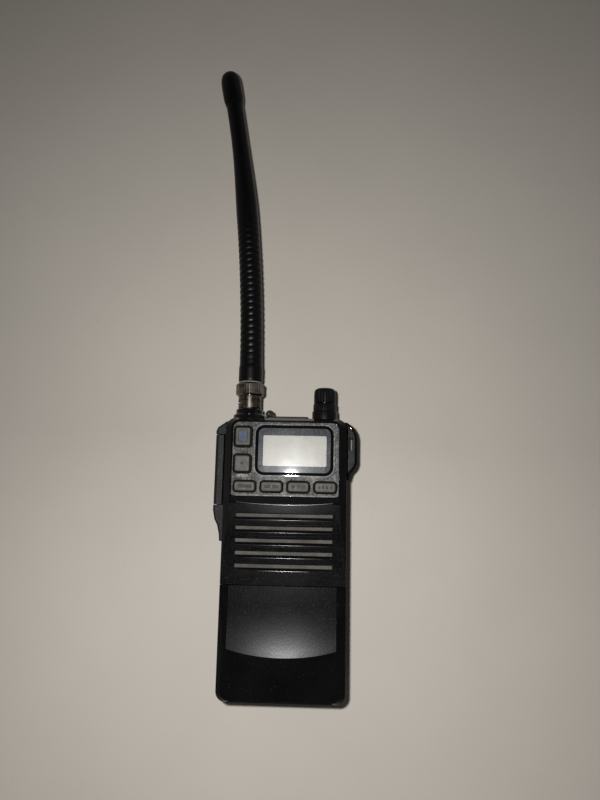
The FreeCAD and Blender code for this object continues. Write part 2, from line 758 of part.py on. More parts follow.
def make_rear_case():
    body = new_body("RearCase")
    ends = ("seam_place", TOP)
    outline = level(body, "0")
    rectangle(outline, side_span("0"), ends, None, "corner_radius")
    pad(body, outline, "split_height")
    seam = value("seam_place")
    flat = at_height("0")
    fillet(body, "back_radius",
           lambda edge: flat(edge) and edge.BoundBox.YMax > seam + 1)
    hollow = level(body, "wall")
    rectangle(hollow, side_span("wall"), ("seam_place + wall", f"{TOP} - wall"),
              None, "corner_radius - wall")
    pocket(body, hollow, "split_height")
    inside = at_height("wall")
    fillet(body, "corner_radius - wall - 0.2",
           lambda edge: inside(edge) and edge.BoundBox.YMax > seam + 5)
    add_side_strip(body)
    add_lug(body)
    add_rear_columns(body)
    open_top(body)
    open_rail_seat(body)
    open_left_wall(body)
    groove = level(body, "split_height - 0.7")
    rectangle(groove, side_span("0.45"), ("seam_place + 0.45", f"{TOP} - 0.45"),
              "0.8", "corner_radius - 0.45")
    rectangle(groove, side_span("1.25"), ("seam_place + 1.25", f"{TOP} - 1.25"),
              "0.3", "corner_radius - 1.25")
    pocket(body, groove, "1")
    return keep("rear_case", body)


def add_side_strip(body):
    """Fairings above and below the talk bar, with the bar's place left free."""
    strip = level(body, "ptt_back")
    edge = BAR_OUTER
    polygon(strip, ((f"-{HALF} + 1", f"{TOP} - 0.8"), (f"{edge} + 5.0", f"{TOP} - 0.8"),
                    (f"{edge} + 0.8", f"{TOP} - 3.8"), (edge, f"{TOP} - 5.8"),
                    (edge, "ptt_low - 2.7"), (f"{edge} + 0.8", "ptt_low - 6.9"),
                    (f"{edge} + 2.3", "ptt_low - 9.9"), (f"{edge} + 3.3", "ptt_low - 14"),
                    (f"{edge} + 3.5", "ptt_low - 17.3"), (f"-{HALF} + 1", "ptt_low - 17.3")))
    pad(body, strip, "ptt_front - ptt_back")
    side = value(HALF)
    limits = (value("ptt_back"), value("ptt_front"))
    chamfer(body, "ptt_slope - 0.4",
            lambda edge: any(at_height(str(height))(edge) for height in limits)
            and edge.BoundBox.XMax < -side - 1e-3)
    room = level(body, "ptt_back - 1")
    rectangle(room, (f"{BAR_OUTER} - 1", f"-{HALF}"), ("ptt_low - ptt_gap", "ptt_high + ptt_gap"))
    pocket(body, room, "ptt_front - ptt_back + 2")


def add_lug(body):
    """Strap lug with a raised rim and a slot through it."""
    edge = LUG_EDGE
    lug = level(body, "lug_back")
    polygon(lug, ((f"{HALF} - 1", f"{TOP} - 0.6"), (f"{edge} - 4.9", f"{TOP} - 0.6"),
                  (f"{edge} - 2.2", f"{TOP} - 2.6"), (f"{edge} - 0.6", f"{TOP} - 5.4"),
                  (edge, f"{TOP} - 8"), (edge, f"{TOP} - 20.4"),
                  (f"{edge} - 0.8", f"{TOP} - 22.8"), (f"{edge} - 3", f"{TOP} - 25.4"),
                  (f"{edge} - 4", f"{TOP} - 28.8"), (f"{HALF} - 1", f"{TOP} - 28.8")))
    pad(body, lug, "split_height - lug_back")
    face = level(body, "split_height - lug_recess")
    polygon(face, ((f"{HALF} + 0.6", f"{TOP} - 2.2"),
                   (f"{edge} - 2.9", f"{TOP} - 3.6"), (f"{edge} - lug_rim - 0.5", f"{TOP} - 5.8"),
                   (f"{edge} - lug_rim", f"{TOP} - 8.2"), (f"{edge} - lug_rim", f"{TOP} - 20.1"),
                   (f"{edge} - 1.8", f"{TOP} - 22.1"), (f"{edge} - 4", f"{TOP} - 24.7"),
                   (f"{HALF} + 0.6", f"{TOP} - 27.5")))
    pocket(body, face, "1")
    slot = level(body, "lug_back - 1")
    rectangle(slot, (f"{edge} - 4.4", f"{edge} - 1.9"), (f"{TOP} - 14.1", f"{TOP} - 7.7"), "0.6", "0.6")
    pocket(body, slot, "split_height - lug_back + 2")


def add_rear_columns(body):
    """Screw columns, board stands and insert bosses, with their holes."""
    columns = level(body, "wall - 0.3")
    for x, y in SCREW_SPOTS:
        disc(columns, "column_radius", x, y)
    pad(body, columns, "split_height - wall + 0.3")
    stands = level(body, "wall - 0.3")
    for x, y in REAR_BOARD_SPOTS:
        disc(stands, "2", x, y)
    pad(body, stands, "rear_board_height - wall + 0.3")
    bosses = level(body, "wall - 0.3")
    for side in ("-", ""):
        disc(bosses, "insert_radius + 1.4", f"{side}clip_spacing / 2", "clip_place")
    pad(body, bosses, "insert_depth + 1 - wall + 0.3")
    shanks = level(body, "-1")
    heads = level(body, "-1")
    for x, y in SCREW_SPOTS:
        disc(shanks, "screw_radius + 0.15", x, y)
        disc(heads, "screw_head_radius + 0.2", x, y)
    pocket(body, shanks, "split_height + 2")
    pocket(body, heads, "screw_head_depth + 1.5")
    pilots = level(body, "rear_board_height - 4.4")
    for x, y in REAR_BOARD_SPOTS:
        disc(pilots, "board_screw_radius + 0.05", x, y)
    pocket(body, pilots, "5")
    inserts = level(body, "-1")
    for side in ("-", ""):
        disc(inserts, "insert_radius", f"{side}clip_spacing / 2", "clip_place")
    pocket(body, inserts, "insert_depth + 1")


def open_top(body):
    """Holes in the top wall for connector, controls and audio sockets."""
    holes = upright(body, f"{TOP} - wall - 0.5")
    disc(holes, "jack_radius + 0.1", "antenna_x", "fitting_height")
    disc(holes, "3.7", "control_x", "fitting_height")
    disc(holes, "large_jack_bore + nose_wall + fit_gap", "large_jack_x", "fitting_height")
    disc(holes, "small_jack_bore + nose_wall + fit_gap", "small_jack_x", "fitting_height")
    pocket(body, holes, "wall + 1", along_normal=False)
    seat = upright(body, f"{TOP} - wall - 2.7")
    disc(seat, "nut_radius + 0.2", "antenna_x", "fitting_height")
    pocket(body, seat, "2.7", along_normal=False)


def open_rail_seat(body):
    """Seat of the rail plate and the way out for the battery rail on the right."""
    seat = lengthwise(body, "rail_left - 0.4")
    rectangle(seat, ("seam_place - 1", "seam_place + plate_depth + 0.1"),
              ("plate_low - 0.1", "plate_high + 0.1"))
    pocket(body, seat, f"{INNER} - rail_left + 0.4")
    way_out = lengthwise(body, f"{INNER} - 0.5")
    polygon(way_out, rail_outline("slide_gap", "seam_place - 1"))
    pocket(body, way_out, "wall + 2")
    tongue = upright(body, "seam_place - 1")
    rectangle(tongue, span("tongue_x", "1.8"), ("release_back + 0.5", "release_front - 0.5"))
    pocket(body, tongue, "wall + 2", along_normal=False)


def open_left_wall(body):
    """Holes for the talk bar's pegs and the slot of the release button."""
    pegs = lengthwise(body, f"-{HALF} - 0.5")
    for y in PEG_SPOTS:
        disc(pegs, "peg_radius + 0.2", y, "peg_height")
    pocket(body, pegs, "wall + 1")
    slot = lengthwise(body, f"-{HALF} - 0.5")
    rectangle(slot, ("release_low - fit_gap", "release_high + release_travel + fit_gap"),
              ("release_back - fit_gap", "release_front + fit_gap"))
    pocket(body, slot, "wall + 0.6")


def make_case_seal():
    body = new_body("CaseSeal")
    ring = level(body, "split_height - 0.7")
    rectangle(ring, side_span("0.5"), ("seam_place + 0.5", f"{TOP} - 0.5"),
              "0.75", "corner_radius - 0.5")
    rectangle(ring, side_span("1.2"), ("seam_place + 1.2", f"{TOP} - 1.2"),
              "0.35", "corner_radius - 1.2")
    pad(body, ring, "0.7")
    return keep("case_seal", body)


def make_key_panel():
    body = new_body("KeyPanel")
    outline = level(body, PANEL_FLOOR)
    rectangle(outline, span("0", "panel_width", "fit_gap"),
              ("panel_low + fit_gap", "panel_high - fit_gap"), "0.8", "panel_radius - fit_gap")
    rectangle(outline, span("window_x", "window_width", "-fit_gap"),
              span("window_place", "window_length", "-fit_gap"),
              "window_radius + fit_gap", "window_radius + fit_gap")
    key_openings(outline, "0")
    pad(body, outline, "panel_thickness")
    return keep("key_panel", body)


def make_display():
    """Window, printed frame, liquid crystal panel and its backlight."""
    window = new_body("DisplayWindow")
    face = level(window, f"{PANEL_FLOOR} + sheet_thickness")
    rectangle(face, span("window_x", "window_width"), span("window_place", "window_length"),
              "window_radius", "window_radius")
    pad(window, face, "window_thickness")
    chamfer(window, "0.3", at_height(f"{PANEL_FLOOR} + sheet_thickness + window_thickness"))
    keep("display_window", window)
    frame = new_body("DisplayFrame")
    sheet = level(frame, PANEL_FLOOR)
    rectangle(sheet, span("window_x", "window_width", "0.1"),
              span("window_place", "window_length", "0.1"), "window_radius", "window_radius")
    rectangle(sheet, span("glass_x", "view_width"), span("glass_place", "view_length"), "0.6", "0.6")
    pad(frame, sheet, "sheet_thickness")
    keep("display_frame", frame)
    glass = box("LcdPanel", span("glass_x", "glass_width"), span("glass_place", "glass_length"),
                (f"{PANEL_FLOOR} - 0.1 - glass_thickness", f"{PANEL_FLOOR} - 0.1"))
    keep("lcd_panel", glass)
    light = box("LcdBacklight", span("glass_x", "glass_width + 2"),
                span("glass_place", "glass_length + 1.6"),
                (MAT_BACK, f"{PANEL_FLOOR} - 0.2 - glass_thickness"))
    keep("lcd_backlight", light)


def make_key(name, key):
    """Key with a flange below its opening and sloped edges on top."""
    body = new_body(name.title().replace("_", ""))
    flange = level(body, KEY_FOOT)
    rectangle(flange, span(key["x"], key["width"], "key_gap - key_flange"),
              span(key["y"], key["length"], "key_gap - key_flange"), "key_radius", "key_radius")
    pad(body, flange, "1.2")
    cap = level(body, KEY_FOOT)
    rectangle(cap, span(key["x"], key["width"], "key_gap"),
              span(key["y"], key["length"], "key_gap"), "key_radius", "key_radius")
    pad(body, cap, f"key_top - {KEY_FOOT}")
    chamfer(body, key["slope"], at_height("key_top"))
    return keep(name, body)


def make_keypad_mat():
    """Rubber mat with a dome under each key."""
    body = new_body("KeypadMat")
    left, right = f"-{INNER} + 0.9", f"{INNER} - 0.9"
    corner_x = "side_key_place + side_key_width / 2 + key_flange + 0.3"
    corner_y = "row_key_place + row_key_length / 2 + key_flange + 1.1"
    sheet = level(body, MAT_BACK)
    low = "row_key_place - row_key_length / 2 - key_flange + 0.2"
    high = "upper_key_place + upper_key_length / 2 + 0.8"
    polygon(sheet, ((left, low), (right, low), (right, corner_y), (corner_x, corner_y),
                    (corner_x, high), (left, high)))
    pad(body, sheet, f"{MAT_TOP} - {MAT_BACK}")
    domes = level(body, MAT_TOP)
    for key in KEYS.values():
        disc(domes, "2.2", key["x"], key["y"])
    pad(body, domes, f"{KEY_FOOT} - key_travel - 0.15 - {MAT_TOP}")
    return keep("keypad_mat", body)


# ---------------------------------------------------------------- inside the radio

def make_boards():
    """Main board behind the keys and radio board in the rear case."""
    board = new_body("MainBoard")
    face = level(board, "main_board_height")
    rectangle(face, side_span("wall + board_gap"), ("main_board_low", "main_board_high"), None, "3")
    pad(board, face, "board_thickness")
    notches = level(board, "main_board_height - 0.1")
    for side in ("-", ""):
        disc(notches, "column_radius + 0.3", side + "screw_x", "screw_high")
    pocket(board, notches, "board_thickness + 0.2")
    holes = level(board, "main_board_height - 0.1")
    for x, y in MAIN_BOARD_SPOTS:
        disc(holes, "board_screw_radius + 0.1", x, y)
    pocket(board, holes, "board_thickness + 0.2")
    keep("main_board", board)
    rear = new_body("RearBoard")
    face = level(rear, "rear_board_height")
    rectangle(face, side_span("wall + board_gap + 1.4"), ("rear_board_low", "rear_board_high"))
    pad(rear, face, "board_thickness")
    notches = level(rear, "rear_board_height - 0.1")
    for x, y in SCREW_SPOTS:
        disc(notches, "column_radius + 0.3", x, y)
    pocket(rear, notches, "board_thickness + 0.2")
    holes = level(rear, "rear_board_height - 0.1")
    for x, y in REAR_BOARD_SPOTS:
        disc(holes, "board_screw_radius + 0.1", x, y)
    pocket(rear, holes, "board_thickness + 0.2")
    keep("rf_board", rear)


def make_shield():
    can = box("Can", ("-17", "12"), ("6", "44"), (REAR_BOARD_TOP, f"{REAR_BOARD_TOP} + shield_height"))
    room = box("CanRoom", ("-16.5", "11.5"), ("6.5", "43.5"),
               (f"{REAR_BOARD_TOP} - 1", f"{REAR_BOARD_TOP} + shield_height - 0.5"))
    return keep("rf_shield", cut("RfShield", can, room))


def make_speaker():
    """Cloth, basket, cone and magnet behind the slots."""
    cloth = box("SpeakerMesh", ("-slot_length / 2 - 0.4", "slot_length / 2 + 0.4"),
                span("slot_place", "slot_pitch * (slot_count - 1) + slot_opening + 1.4"),
                ("roof_height - sheet_thickness", "roof_height"))
    keep("speaker_mesh", cloth)
    rim = "(roof_height - sheet_thickness - 0.1)"
    floor = "(magnet_height + 4.5)"
    basket = turned("SpeakerFrame", (
        ("magnet_radius - 5", floor), ("basket_radius", floor), ("basket_radius", f"{rim} - 1"),
        ("speaker_radius", f"{rim} - 1"), ("speaker_radius", rim),
        ("basket_radius - 0.7", rim), ("basket_radius - 0.7", f"{floor} + 0.6"),
        ("magnet_radius - 5", f"{floor} + 0.6")), "0", "slot_place", "0", "z")
    keep("speaker_frame", basket)
    cone = turned("SpeakerCone", (
        ("0", f"{floor} + 2"), ("5", f"{floor} + 2"), ("basket_radius - 0.9", f"{rim} - 0.8"),
        ("basket_radius - 0.9", f"{rim} - 0.4"), ("4.8", f"{floor} + 2.4"), ("0", f"{floor} + 2.4")),
        "0", "slot_place", "0", "z")
    coil = rod("VoiceCoil", "z", "5", ("0", "slot_place"), (f"{floor} + 0.4", f"{floor} + 2.2"))
    keep("speaker_cone", fuse("SpeakerConeUnit", cone, coil))
    magnet = rod("SpeakerMagnet", "z", "magnet_radius", ("0", "slot_place"), ("magnet_height", floor))
    keep("speaker_magnet", magnet)
    capsule = rod("Microphone", "z", "3", ("-20.4", "-1.8"), (f"{rim} - 2.8", rim))
    keep("microphone", capsule)


def make_power_contacts():
    """Contact block at the seam with its three spring pins."""
    inner = "seam_place + wall"
    block = box("Block", span("contact_x", "contact_pitch * 2 + 5"), (inner, f"{inner} + 3.9"),
                ("contact_height - 2.4", "contact_height + 2.2"))
    spots = [f"contact_x + contact_pitch * {step}" for step in (-1, 0, 1)]
    bores = [rod("PinBore", "y", "1", (spot, "contact_height"), (f"{inner} - 1", f"{inner} + 5"))
             for spot in spots]
    keep("terminal_block", cut("TerminalBlock", block, *bores))
    pins = [rod("Pin", "y", "0.9", (spot, "contact_height"),
                (f"{BATTERY_TOP} + pin_gap", f"{inner} + 4.2")) for spot in spots]
    keep("spring_contacts", group("SpringContacts", *pins))


def make_talk_switch():
    """Talk bar with its pegs, the seal behind it and the switch it presses."""
    body = new_body("TalkBar")
    face = level(body, "ptt_back")
    rectangle(face, (BAR_OUTER, BAR_INNER), ("ptt_low", "ptt_high"))
    pad(body, face, "ptt_front - ptt_back")
    outer = value(BAR_OUTER)
    middle = value("(ptt_low + ptt_high) / 2")
    chamfer(body, "ptt_slope",
            lambda edge: edge.BoundBox.XMax < outer + 1e-3
            and abs(edge.CenterOfMass.y - middle) < 1)
    pegs = lengthwise(body, f"{BAR_INNER} - 1")
    for y in PEG_SPOTS:
        disc(pegs, "peg_radius", y, "peg_height")
    pad(body, pegs, f"-{INNER} - 0.4 - {BAR_INNER} + 1")
    keep("ptt_bar", body)
    seal = new_body("TalkSeal")
    strip = lengthwise(seal, f"-{HALF} - seal_thickness")
    rectangle(strip, ("ptt_low + 1", "ptt_high - 1"), ("peg_height - 4", "peg_height + 4"), "1", "1")
    for y in PEG_SPOTS:
        disc(strip, "peg_radius + 0.15", y, "peg_height")
    pad(seal, strip, "seal_thickness")
    keep("ptt_seal", seal)
    case = box("SwitchCase", (f"-{INNER} + 1.4", f"-{INNER} + 5.6"), span(PEG_SPOTS[1], "7"),
               (REAR_BOARD_TOP, "peg_height + 3.2"))
    plunger = rod("Plunger", "x", "1.1", (PEG_SPOTS[1], "peg_height"),
                  (f"-{INNER} - 0.4 + ptt_travel + 0.15", f"-{INNER} + 1.5"))
    keep("ptt_switch", fuse("TalkSwitch", case, plunger))


def make_release():
    """Release button: block in the wall, ridge outside, arm and tongue inside."""
    deep = ("release_back", "release_front")
    block = box("ReleaseBlock", (f"-{HALF}", f"-{INNER} + 0.3"), ("release_low", "release_high"), deep)
    ridge = box("ReleaseRidge", (f"-{HALF} - release_ridge", f"-{HALF} + 0.2"),
                ("-0.4", "1.1"), ("release_back + 0.4", "release_front - 0.4"))
    plate = box("ReleasePlate", (f"-{INNER} + 0.2", f"-{INNER} + 1.2"),
                ("release_low + 0.8", "release_high + 2"), ("release_back - 0.9", "release_front + 0.9"))
    arm = box("ReleaseArm", (f"-{INNER} + 1", "tongue_x + 0.6"), ("-1.4", "1.4"),
              ("release_back + 0.8", "release_front - 0.8"))
    tongue = box("ReleaseTongue", span("tongue_x", "1.2"), ("seam_place + 0.1", "1.4"),
                 ("release_back + 0.8", "release_front - 0.8"))
    return keep("release_button", fuse("ReleaseButton", block, ridge, plate, arm, tongue))


def make_rail_plate():
    body = new_body("RailPlate")
    section = lengthwise(body, "rail_left - 0.3")
    inner = rail_outline("slide_gap", "seam_place")
    back = "seam_place + plate_depth"
    polygon(section, (("seam_place", "plate_low"), *inner, ("seam_place", "plate_high"),
                      (back, "plate_high"), (back, "plate_low")))
    pad(body, section, f"{INNER} - rail_left + 0.2")
    return keep("base_plate", body)


# ---------------------------------------------------------------- fasteners

def screw(name, spot, radius, head_radius, head, length):
    """Pan screw that points towards the front: head holds its back and its thickness."""
    x, y = spot
    back, depth = head
    cap = rod(name + "Head", "z", head_radius, (x, y), (back, f"{back} + {depth}"))
    shank = rod(name + "Shank", "z", radius, (x, y), (f"{back} + {depth} - 0.1", f"{back} + {length}"))
    drive = hexagon(name + "Drive", "z", f"({head_radius}) * 0.45", (x, y),
                    (f"{back} - 0.1", f"{back} + {depth} * 0.6"))
    return cut(name, fuse(name + "Blank", cap, shank), drive)


def make_fasteners():
    case = [screw("CaseScrew", spot, "screw_radius", "screw_head_radius",
                  ("0.4", "screw_head_depth - 0.1"), "split_height + 4.6") for spot in SCREW_SPOTS]
    keep("case_screws", group("CaseScrews", *case))
    front = [screw("BoardScrew", spot, "board_screw_radius", "1.6",
                   ("main_board_height - 1", "1"), "5.6") for spot in MAIN_BOARD_SPOTS]
    rear = [rear_screw(spot) for spot in REAR_BOARD_SPOTS]
    keep("board_screws", group("BoardScrews", *front, *rear))
    inserts = []
    for side in ("-", ""):
        spot = (f"{side}clip_spacing / 2", "clip_place")
        sleeve = rod("Insert", "z", "insert_radius", spot, ("0", "insert_depth"))
        bore = rod("InsertBore", "z", "insert_bore", spot, ("-1", "insert_depth + 1"))
        inserts.append(cut("ClipInsert", sleeve, bore))
    keep("clip_inserts", group("ClipInserts", *inserts))


def rear_screw(spot):
    """Screw that points towards the back, through the radio board into its stand."""
    head = rod("RearScrewHead", "z", "1.6", spot, (REAR_BOARD_TOP, f"{REAR_BOARD_TOP} + 1"))
    shank = rod("RearScrewShank", "z", "board_screw_radius", spot,
                ("rear_board_height - 4", f"{REAR_BOARD_TOP} + 0.1"))
    return fuse("RearScrew", head, shank)


# ---------------------------------------------------------------- top fittings

def make_antenna_jack():
    """Bayonet connector on the case, from its collar to its centre contact."""
    here = ("antenna_x", "0", "fitting_height")
    collar = turned("JackCollar", (
        ("jack_radius + 0.05", TOP), ("collar_radius", TOP), ("collar_radius", f"{TOP} + 2.6"),
        ("collar_radius - 0.8", f"{TOP} + 3.4"), ("collar_radius - 1.3", f"{TOP} + 3.4"),
        ("collar_radius - 1.3", f"{TOP} + collar_height - 0.5"),
        ("collar_radius - 1.8", f"{TOP} + collar_height"),
        ("jack_radius + 0.05", f"{TOP} + collar_height")), *here)
    keep("jack_collar", collar)
    barrel = turned("JackBarrel", (
        ("3", f"{TOP} - 6"), ("jack_radius", f"{TOP} - 6"), ("jack_radius", "jack_top - 0.4"),
        ("jack_radius - 0.4", "jack_top"), ("jack_bore", "jack_top"), ("jack_bore", f"{TOP} + 3"),
        ("3", f"{TOP} + 3")), *here)
    studs = [rod("Stud", "x", "stud_radius", ("stud_place", "fitting_height"), reach)
             for reach in (("antenna_x - stud_reach", "antenna_x - jack_radius + 0.3"),
                           ("antenna_x + jack_radius - 0.3", "antenna_x + stud_reach"))]
    keep("antenna_jack", fuse("AntennaJack", barrel, *studs))
    insulator = turned("JackInsulator", (
        ("1.1", f"{TOP} - 6.5"), ("2.95", f"{TOP} - 6.5"), ("2.95", f"{TOP} + 5.5"),
        ("1.1", f"{TOP} + 5.5")), *here)
    keep("jack_insulator", insulator)
    contact = turned("JackContact", (
        ("pin_radius + 0.05", f"{TOP} - 3"), ("pin_radius + 0.05", f"{TOP} + 7"),
        ("1.05", f"{TOP} + 7"), ("1.05", f"{TOP} - 8"), ("0", f"{TOP} - 8"), ("0", f"{TOP} - 3")), *here)
    keep("jack_contact", contact)
    spot = ("antenna_x", "fitting_height")
    nut = hexagon("NutBlank", "y", "nut_radius", spot, (f"{TOP} - wall - 2.5", f"{TOP} - wall"))
    bore = rod("NutBore", "y", "jack_radius + 0.05", spot, (f"{TOP} - wall - 3", f"{TOP} - wall + 1"))
    keep("jack_nut", cut("JackNut", nut, bore))


def make_bayonet_ring():
    """Knurled ring with two slots that turn over the connector's studs."""
    skirt_bore = "jack_radius + lock_gap"
    neck_bore = "plug_shoulder + lock_gap"
    body = turned("BayonetRing", (
        (skirt_bore, "lock_low"), ("lock_radius - 0.3", "lock_low"),
        ("lock_radius", "lock_low + 0.3"), ("lock_radius", "lock_step"),
        ("knurl_radius - 0.9", "lock_step"), ("knurl_radius", "lock_step + 0.9"),
        ("knurl_radius", "lock_high - 0.9"), ("knurl_radius - 0.9", "lock_high"),
        (neck_bore, "lock_high"), (neck_bore, "jack_top + 0.6"), (skirt_bore, "jack_top + 0.6")),
        "antenna_x", "0", "fitting_height")
    flute = upright(body, "lock_step - 0.5")
    disc(flute, "0.32", "knurl_radius + 0.08", "0")
    repeat_round(body, pocket(body, flute, "lock_high - lock_step + 1", along_normal=False), 44)
    tools = []
    lead = math.degrees(math.asin(value("(stud_radius + 0.15) / jack_radius")))
    turn = value("lock_turn")
    for start in (0, 180):
        tools.append(ring_sector(start - lead, turn + 2 * lead,
                                 ("stud_place - stud_radius - 0.2", "stud_place + stud_radius + 0.2")))
        tools.append(ring_sector(start + turn - lead, 2 * lead,
                                 ("lock_low - 1", "stud_place")))
    return keep("bayonet_ring", cut("BayonetRingSlotted", body, *tools))


def ring_sector(start, sweep, reach):
    """Sector about the connector's axis, as a tool for the ring's slots."""
    tool = rod("RingSector", "y", "lock_radius + 0.4", ("antenna_x", "fitting_height"), reach)
    tool.Angle = sweep
    tool.Placement.Rotation = TURN_TO["y"].multiply(Rotation(Vector(0, 0, 1), start))
    return tool


def make_plug():
    """Antenna plug: metal body, insulator and centre pin."""
    here = ("antenna_x", "0", "fitting_height")
    bore = "(plug_radius - 0.8)"
    step = "(jack_top + 0.3)"
    neck = "(antenna_base + neck_length)"
    body = turned("PlugBody", (
        (bore, f"{TOP} + 4"), ("plug_radius", f"{TOP} + 4"), ("plug_radius", step),
        ("plug_shoulder", step), ("plug_shoulder", "antenna_base"),
        ("plug_shoulder - 0.15", "antenna_base"), ("plug_shoulder - 0.15", neck), ("0", neck),
        ("0", "lock_high"), (bore, "lock_high")), *here)
    keep("plug_body", body)
    insulator = turned("PlugInsulator", (
        ("pin_radius + 0.03", f"{TOP} + 7.6"), (f"{bore} - 0.05", f"{TOP} + 7.6"),
        (f"{bore} - 0.05", "lock_high - 0.1"), ("pin_radius + 0.03", "lock_high - 0.1")), *here)
    keep("plug_insulator", insulator)
    pin = turned("PlugPin", (
        ("0", f"{TOP} + 0.5"), ("0.3", f"{TOP} + 0.5"), ("pin_radius", f"{TOP} + 1.2"),
        ("pin_radius", "lock_high - 0.1"), ("0", "lock_high - 0.1")), *here)
    keep("plug_pin", pin)


def make_controls():
    """Double potentiometer with its nut, the squelch ring and the volume knob."""
    spot = ("control_x", "fitting_height")
    here = ("control_x", "0", "fitting_height")
    bore_radius = "squelch_shaft + shaft_gap"
    can = box("PotCan", span("control_x", "10.4"), (f"{TOP} - 13", f"{TOP} - wall - 0.1"),
              span("fitting_height", "10.6"))
    bushing = rod("PotBushing", "y", "3.6", spot, (f"{TOP} - 3", f"{TOP} + 2.4"))
    bore = rod("PotBore", "y", bore_radius, spot, (f"{TOP} - 11.5", f"{TOP} + 3"))
    foot = box("PotFoot", span("control_x", "8"), (f"{TOP} - 13", f"{TOP} - 8"),
               (REAR_BOARD_TOP, "fitting_height - 5"))
    keep("control_pot", cut("ControlPot", fuse("PotBlank", can, bushing, foot), bore))
    nut = hexagon("PotNutBlank", "y", "5", spot, (TOP, f"{TOP} + 1.6"))
    nut_bore = rod("PotNutBore", "y", "3.65", spot, (f"{TOP} - 1", f"{TOP} + 3"))
    keep("pot_nut", cut("PotNut", nut, nut_bore))
    ring = turned("SquelchRing", (
        ("squelch_skirt - 1", f"{TOP} + knob_gap"), ("squelch_skirt", f"{TOP} + knob_gap"),
        ("squelch_skirt", "squelch_step - 0.3"), ("squelch_skirt - 0.3", "squelch_step"),
        ("squelch_radius", "squelch_step"), ("squelch_radius", "squelch_top - 0.4"),
        ("squelch_radius - 0.4", "squelch_top"), ("squelch_shaft", "squelch_top"),
        ("squelch_shaft", f"{TOP} + 2.6"), ("squelch_skirt - 1", f"{TOP} + 2.6")), *here)
    flute = upright(ring, "squelch_step + 0.6")
    disc(flute, "0.45", "squelch_radius + 0.15", "0")
    repeat_round(ring, pocket(ring, flute, "5", along_normal=False), 24)
    keep("squelch_ring", ring)
    tube = turned("SquelchShaft", (
        ("volume_shaft + shaft_gap", f"{TOP} - 9"), ("squelch_shaft", f"{TOP} - 9"),
        ("squelch_shaft", "squelch_top"), ("volume_shaft + shaft_gap", "squelch_top")), *here)
    keep("squelch_shaft", tube)
    low = "(squelch_top + knob_gap)"
    knob = turned("VolumeKnob", (
        ("volume_shaft", low), ("volume_radius", low), ("volume_radius", "volume_top - 3"),
        ("volume_radius - 0.9", "volume_top - 1.2"), ("volume_radius - 2.4", "volume_top - 0.2"),
        ("volume_radius - 3.4", "volume_top"), ("0", "volume_top"), ("0", "volume_top - 2"),
        ("volume_shaft", "volume_top - 2")), *here)
    flute = upright(knob, f"{low} + 0.8")
    disc(flute, "0.5", "volume_radius + 0.15", "0")
    repeat_round(knob, pocket(knob, flute, "9", along_normal=False), 18)
    keep("volume_knob", knob)
    shaft = rod("VolumeShaft", "y", "volume_shaft", spot, (f"{TOP} - 11", "volume_top - 2"))
    keep("volume_shaft", shaft)


def make_audio():
    """Audio socket block and the rubber cover over it."""
    sockets = (("large_jack_x", "large_jack_bore"), ("small_jack_x", "small_jack_bore"))
    block = box("AudioBlock", ("large_jack_x - 4.5", "small_jack_x + 4"),
                (f"{TOP} - 13", f"{TOP} - wall - 0.1"), (REAR_BOARD_TOP, "fitting_height + 4.5"))
    noses = [rod("AudioNose", "y", f"{bore} + nose_wall", (x, "fitting_height"),
                 (f"{TOP} - wall - 1", f"{TOP} - nose_depth")) for x, bore in sockets]
    bores = [rod("AudioBore", "y", bore, (x, "fitting_height"), (f"{TOP} - 12", f"{TOP}"))
             for x, bore in sockets]
    keep("audio_jacks", cut("AudioJacks", fuse("AudioUnit", block, *noses), *bores))
    body = new_body("JackCover")
    low = f"{TOP} + 0.05"
    plate = upright(body, low)
    rectangle(plate, ("cover_low", "cover_high"), span("fitting_height", "cover_depth"), "2", "2")
    skin = feature(body, "Pad", plate)
    skin.Reversed = True
    bind(skin, "Length", "cover_thickness")
    face = value(f"{low} + cover_thickness")
    chamfer(body, "0.4", lambda edge: edge.BoundBox.YMin > face - 1e-4)
    posts = upright(body, f"{TOP} - nose_depth + 0.1")
    for x, bore in sockets:
        disc(posts, f"{bore} - 0.1", x, "fitting_height")
    plugs = feature(body, "Pad", posts)
    plugs.Reversed = True
    bind(plugs, "Length", "1")
    loop = DOC.addObject("Part::Torus", "PullLoop")
    bind(loop, "Radius1", "loop_radius")
    bind(loop, "Radius2", "loop_thickness")
    place(loop, "loop_x", f"{low} + cover_thickness + loop_radius + loop_thickness - 0.3", "fitting_height")
    keep("jack_cover", fuse("JackCoverUnit", body, loop))


# ---------------------------------------------------------------- antenna

def along_bend(distance):
    """Formulas for a point on the antenna's bent centre line, from its base."""
    turn = f"(({distance}) / antenna_bend * 1 rad)"
    return f"antenna_bend * (cos({turn}) - 1)", f"antenna_bend * sin({turn})", f"-{turn}"


def bent_rod(name, stations):
    """Round rod along the antenna's centre line through stations of distance and radius."""
    rings = []
    for distance, radius in stations:
        across, up, turn = along_bend(distance)
        ring = DOC.addObject("Part::Circle", name + "Ring")
        bind(ring, "Radius", radius)
        ring.Placement = Placement(Vector(), Rotation(Vector(0, 1, 0), -1))
        place(ring, across, "0", up)
        bind(ring, ".Placement.Rotation.Angle", f"-{turn}")
        bind(ring, ".Placement.Rotation.Axis.y", "-1")
        rings.append(ring)
    solid = DOC.addObject("Part::Loft", name)
    solid.Sections = rings
    solid.Solid = True
    solid.Ruled = True
    return solid


def stand_on_base(item, distance="0"):
    """Puts a piece drawn upright on the antenna's base into the radio's frame."""
    item.Placement = Placement(Vector(), TURN_TO["y"])
    place(item, "antenna_x", f"antenna_base + ({distance})", "fitting_height")
    return item


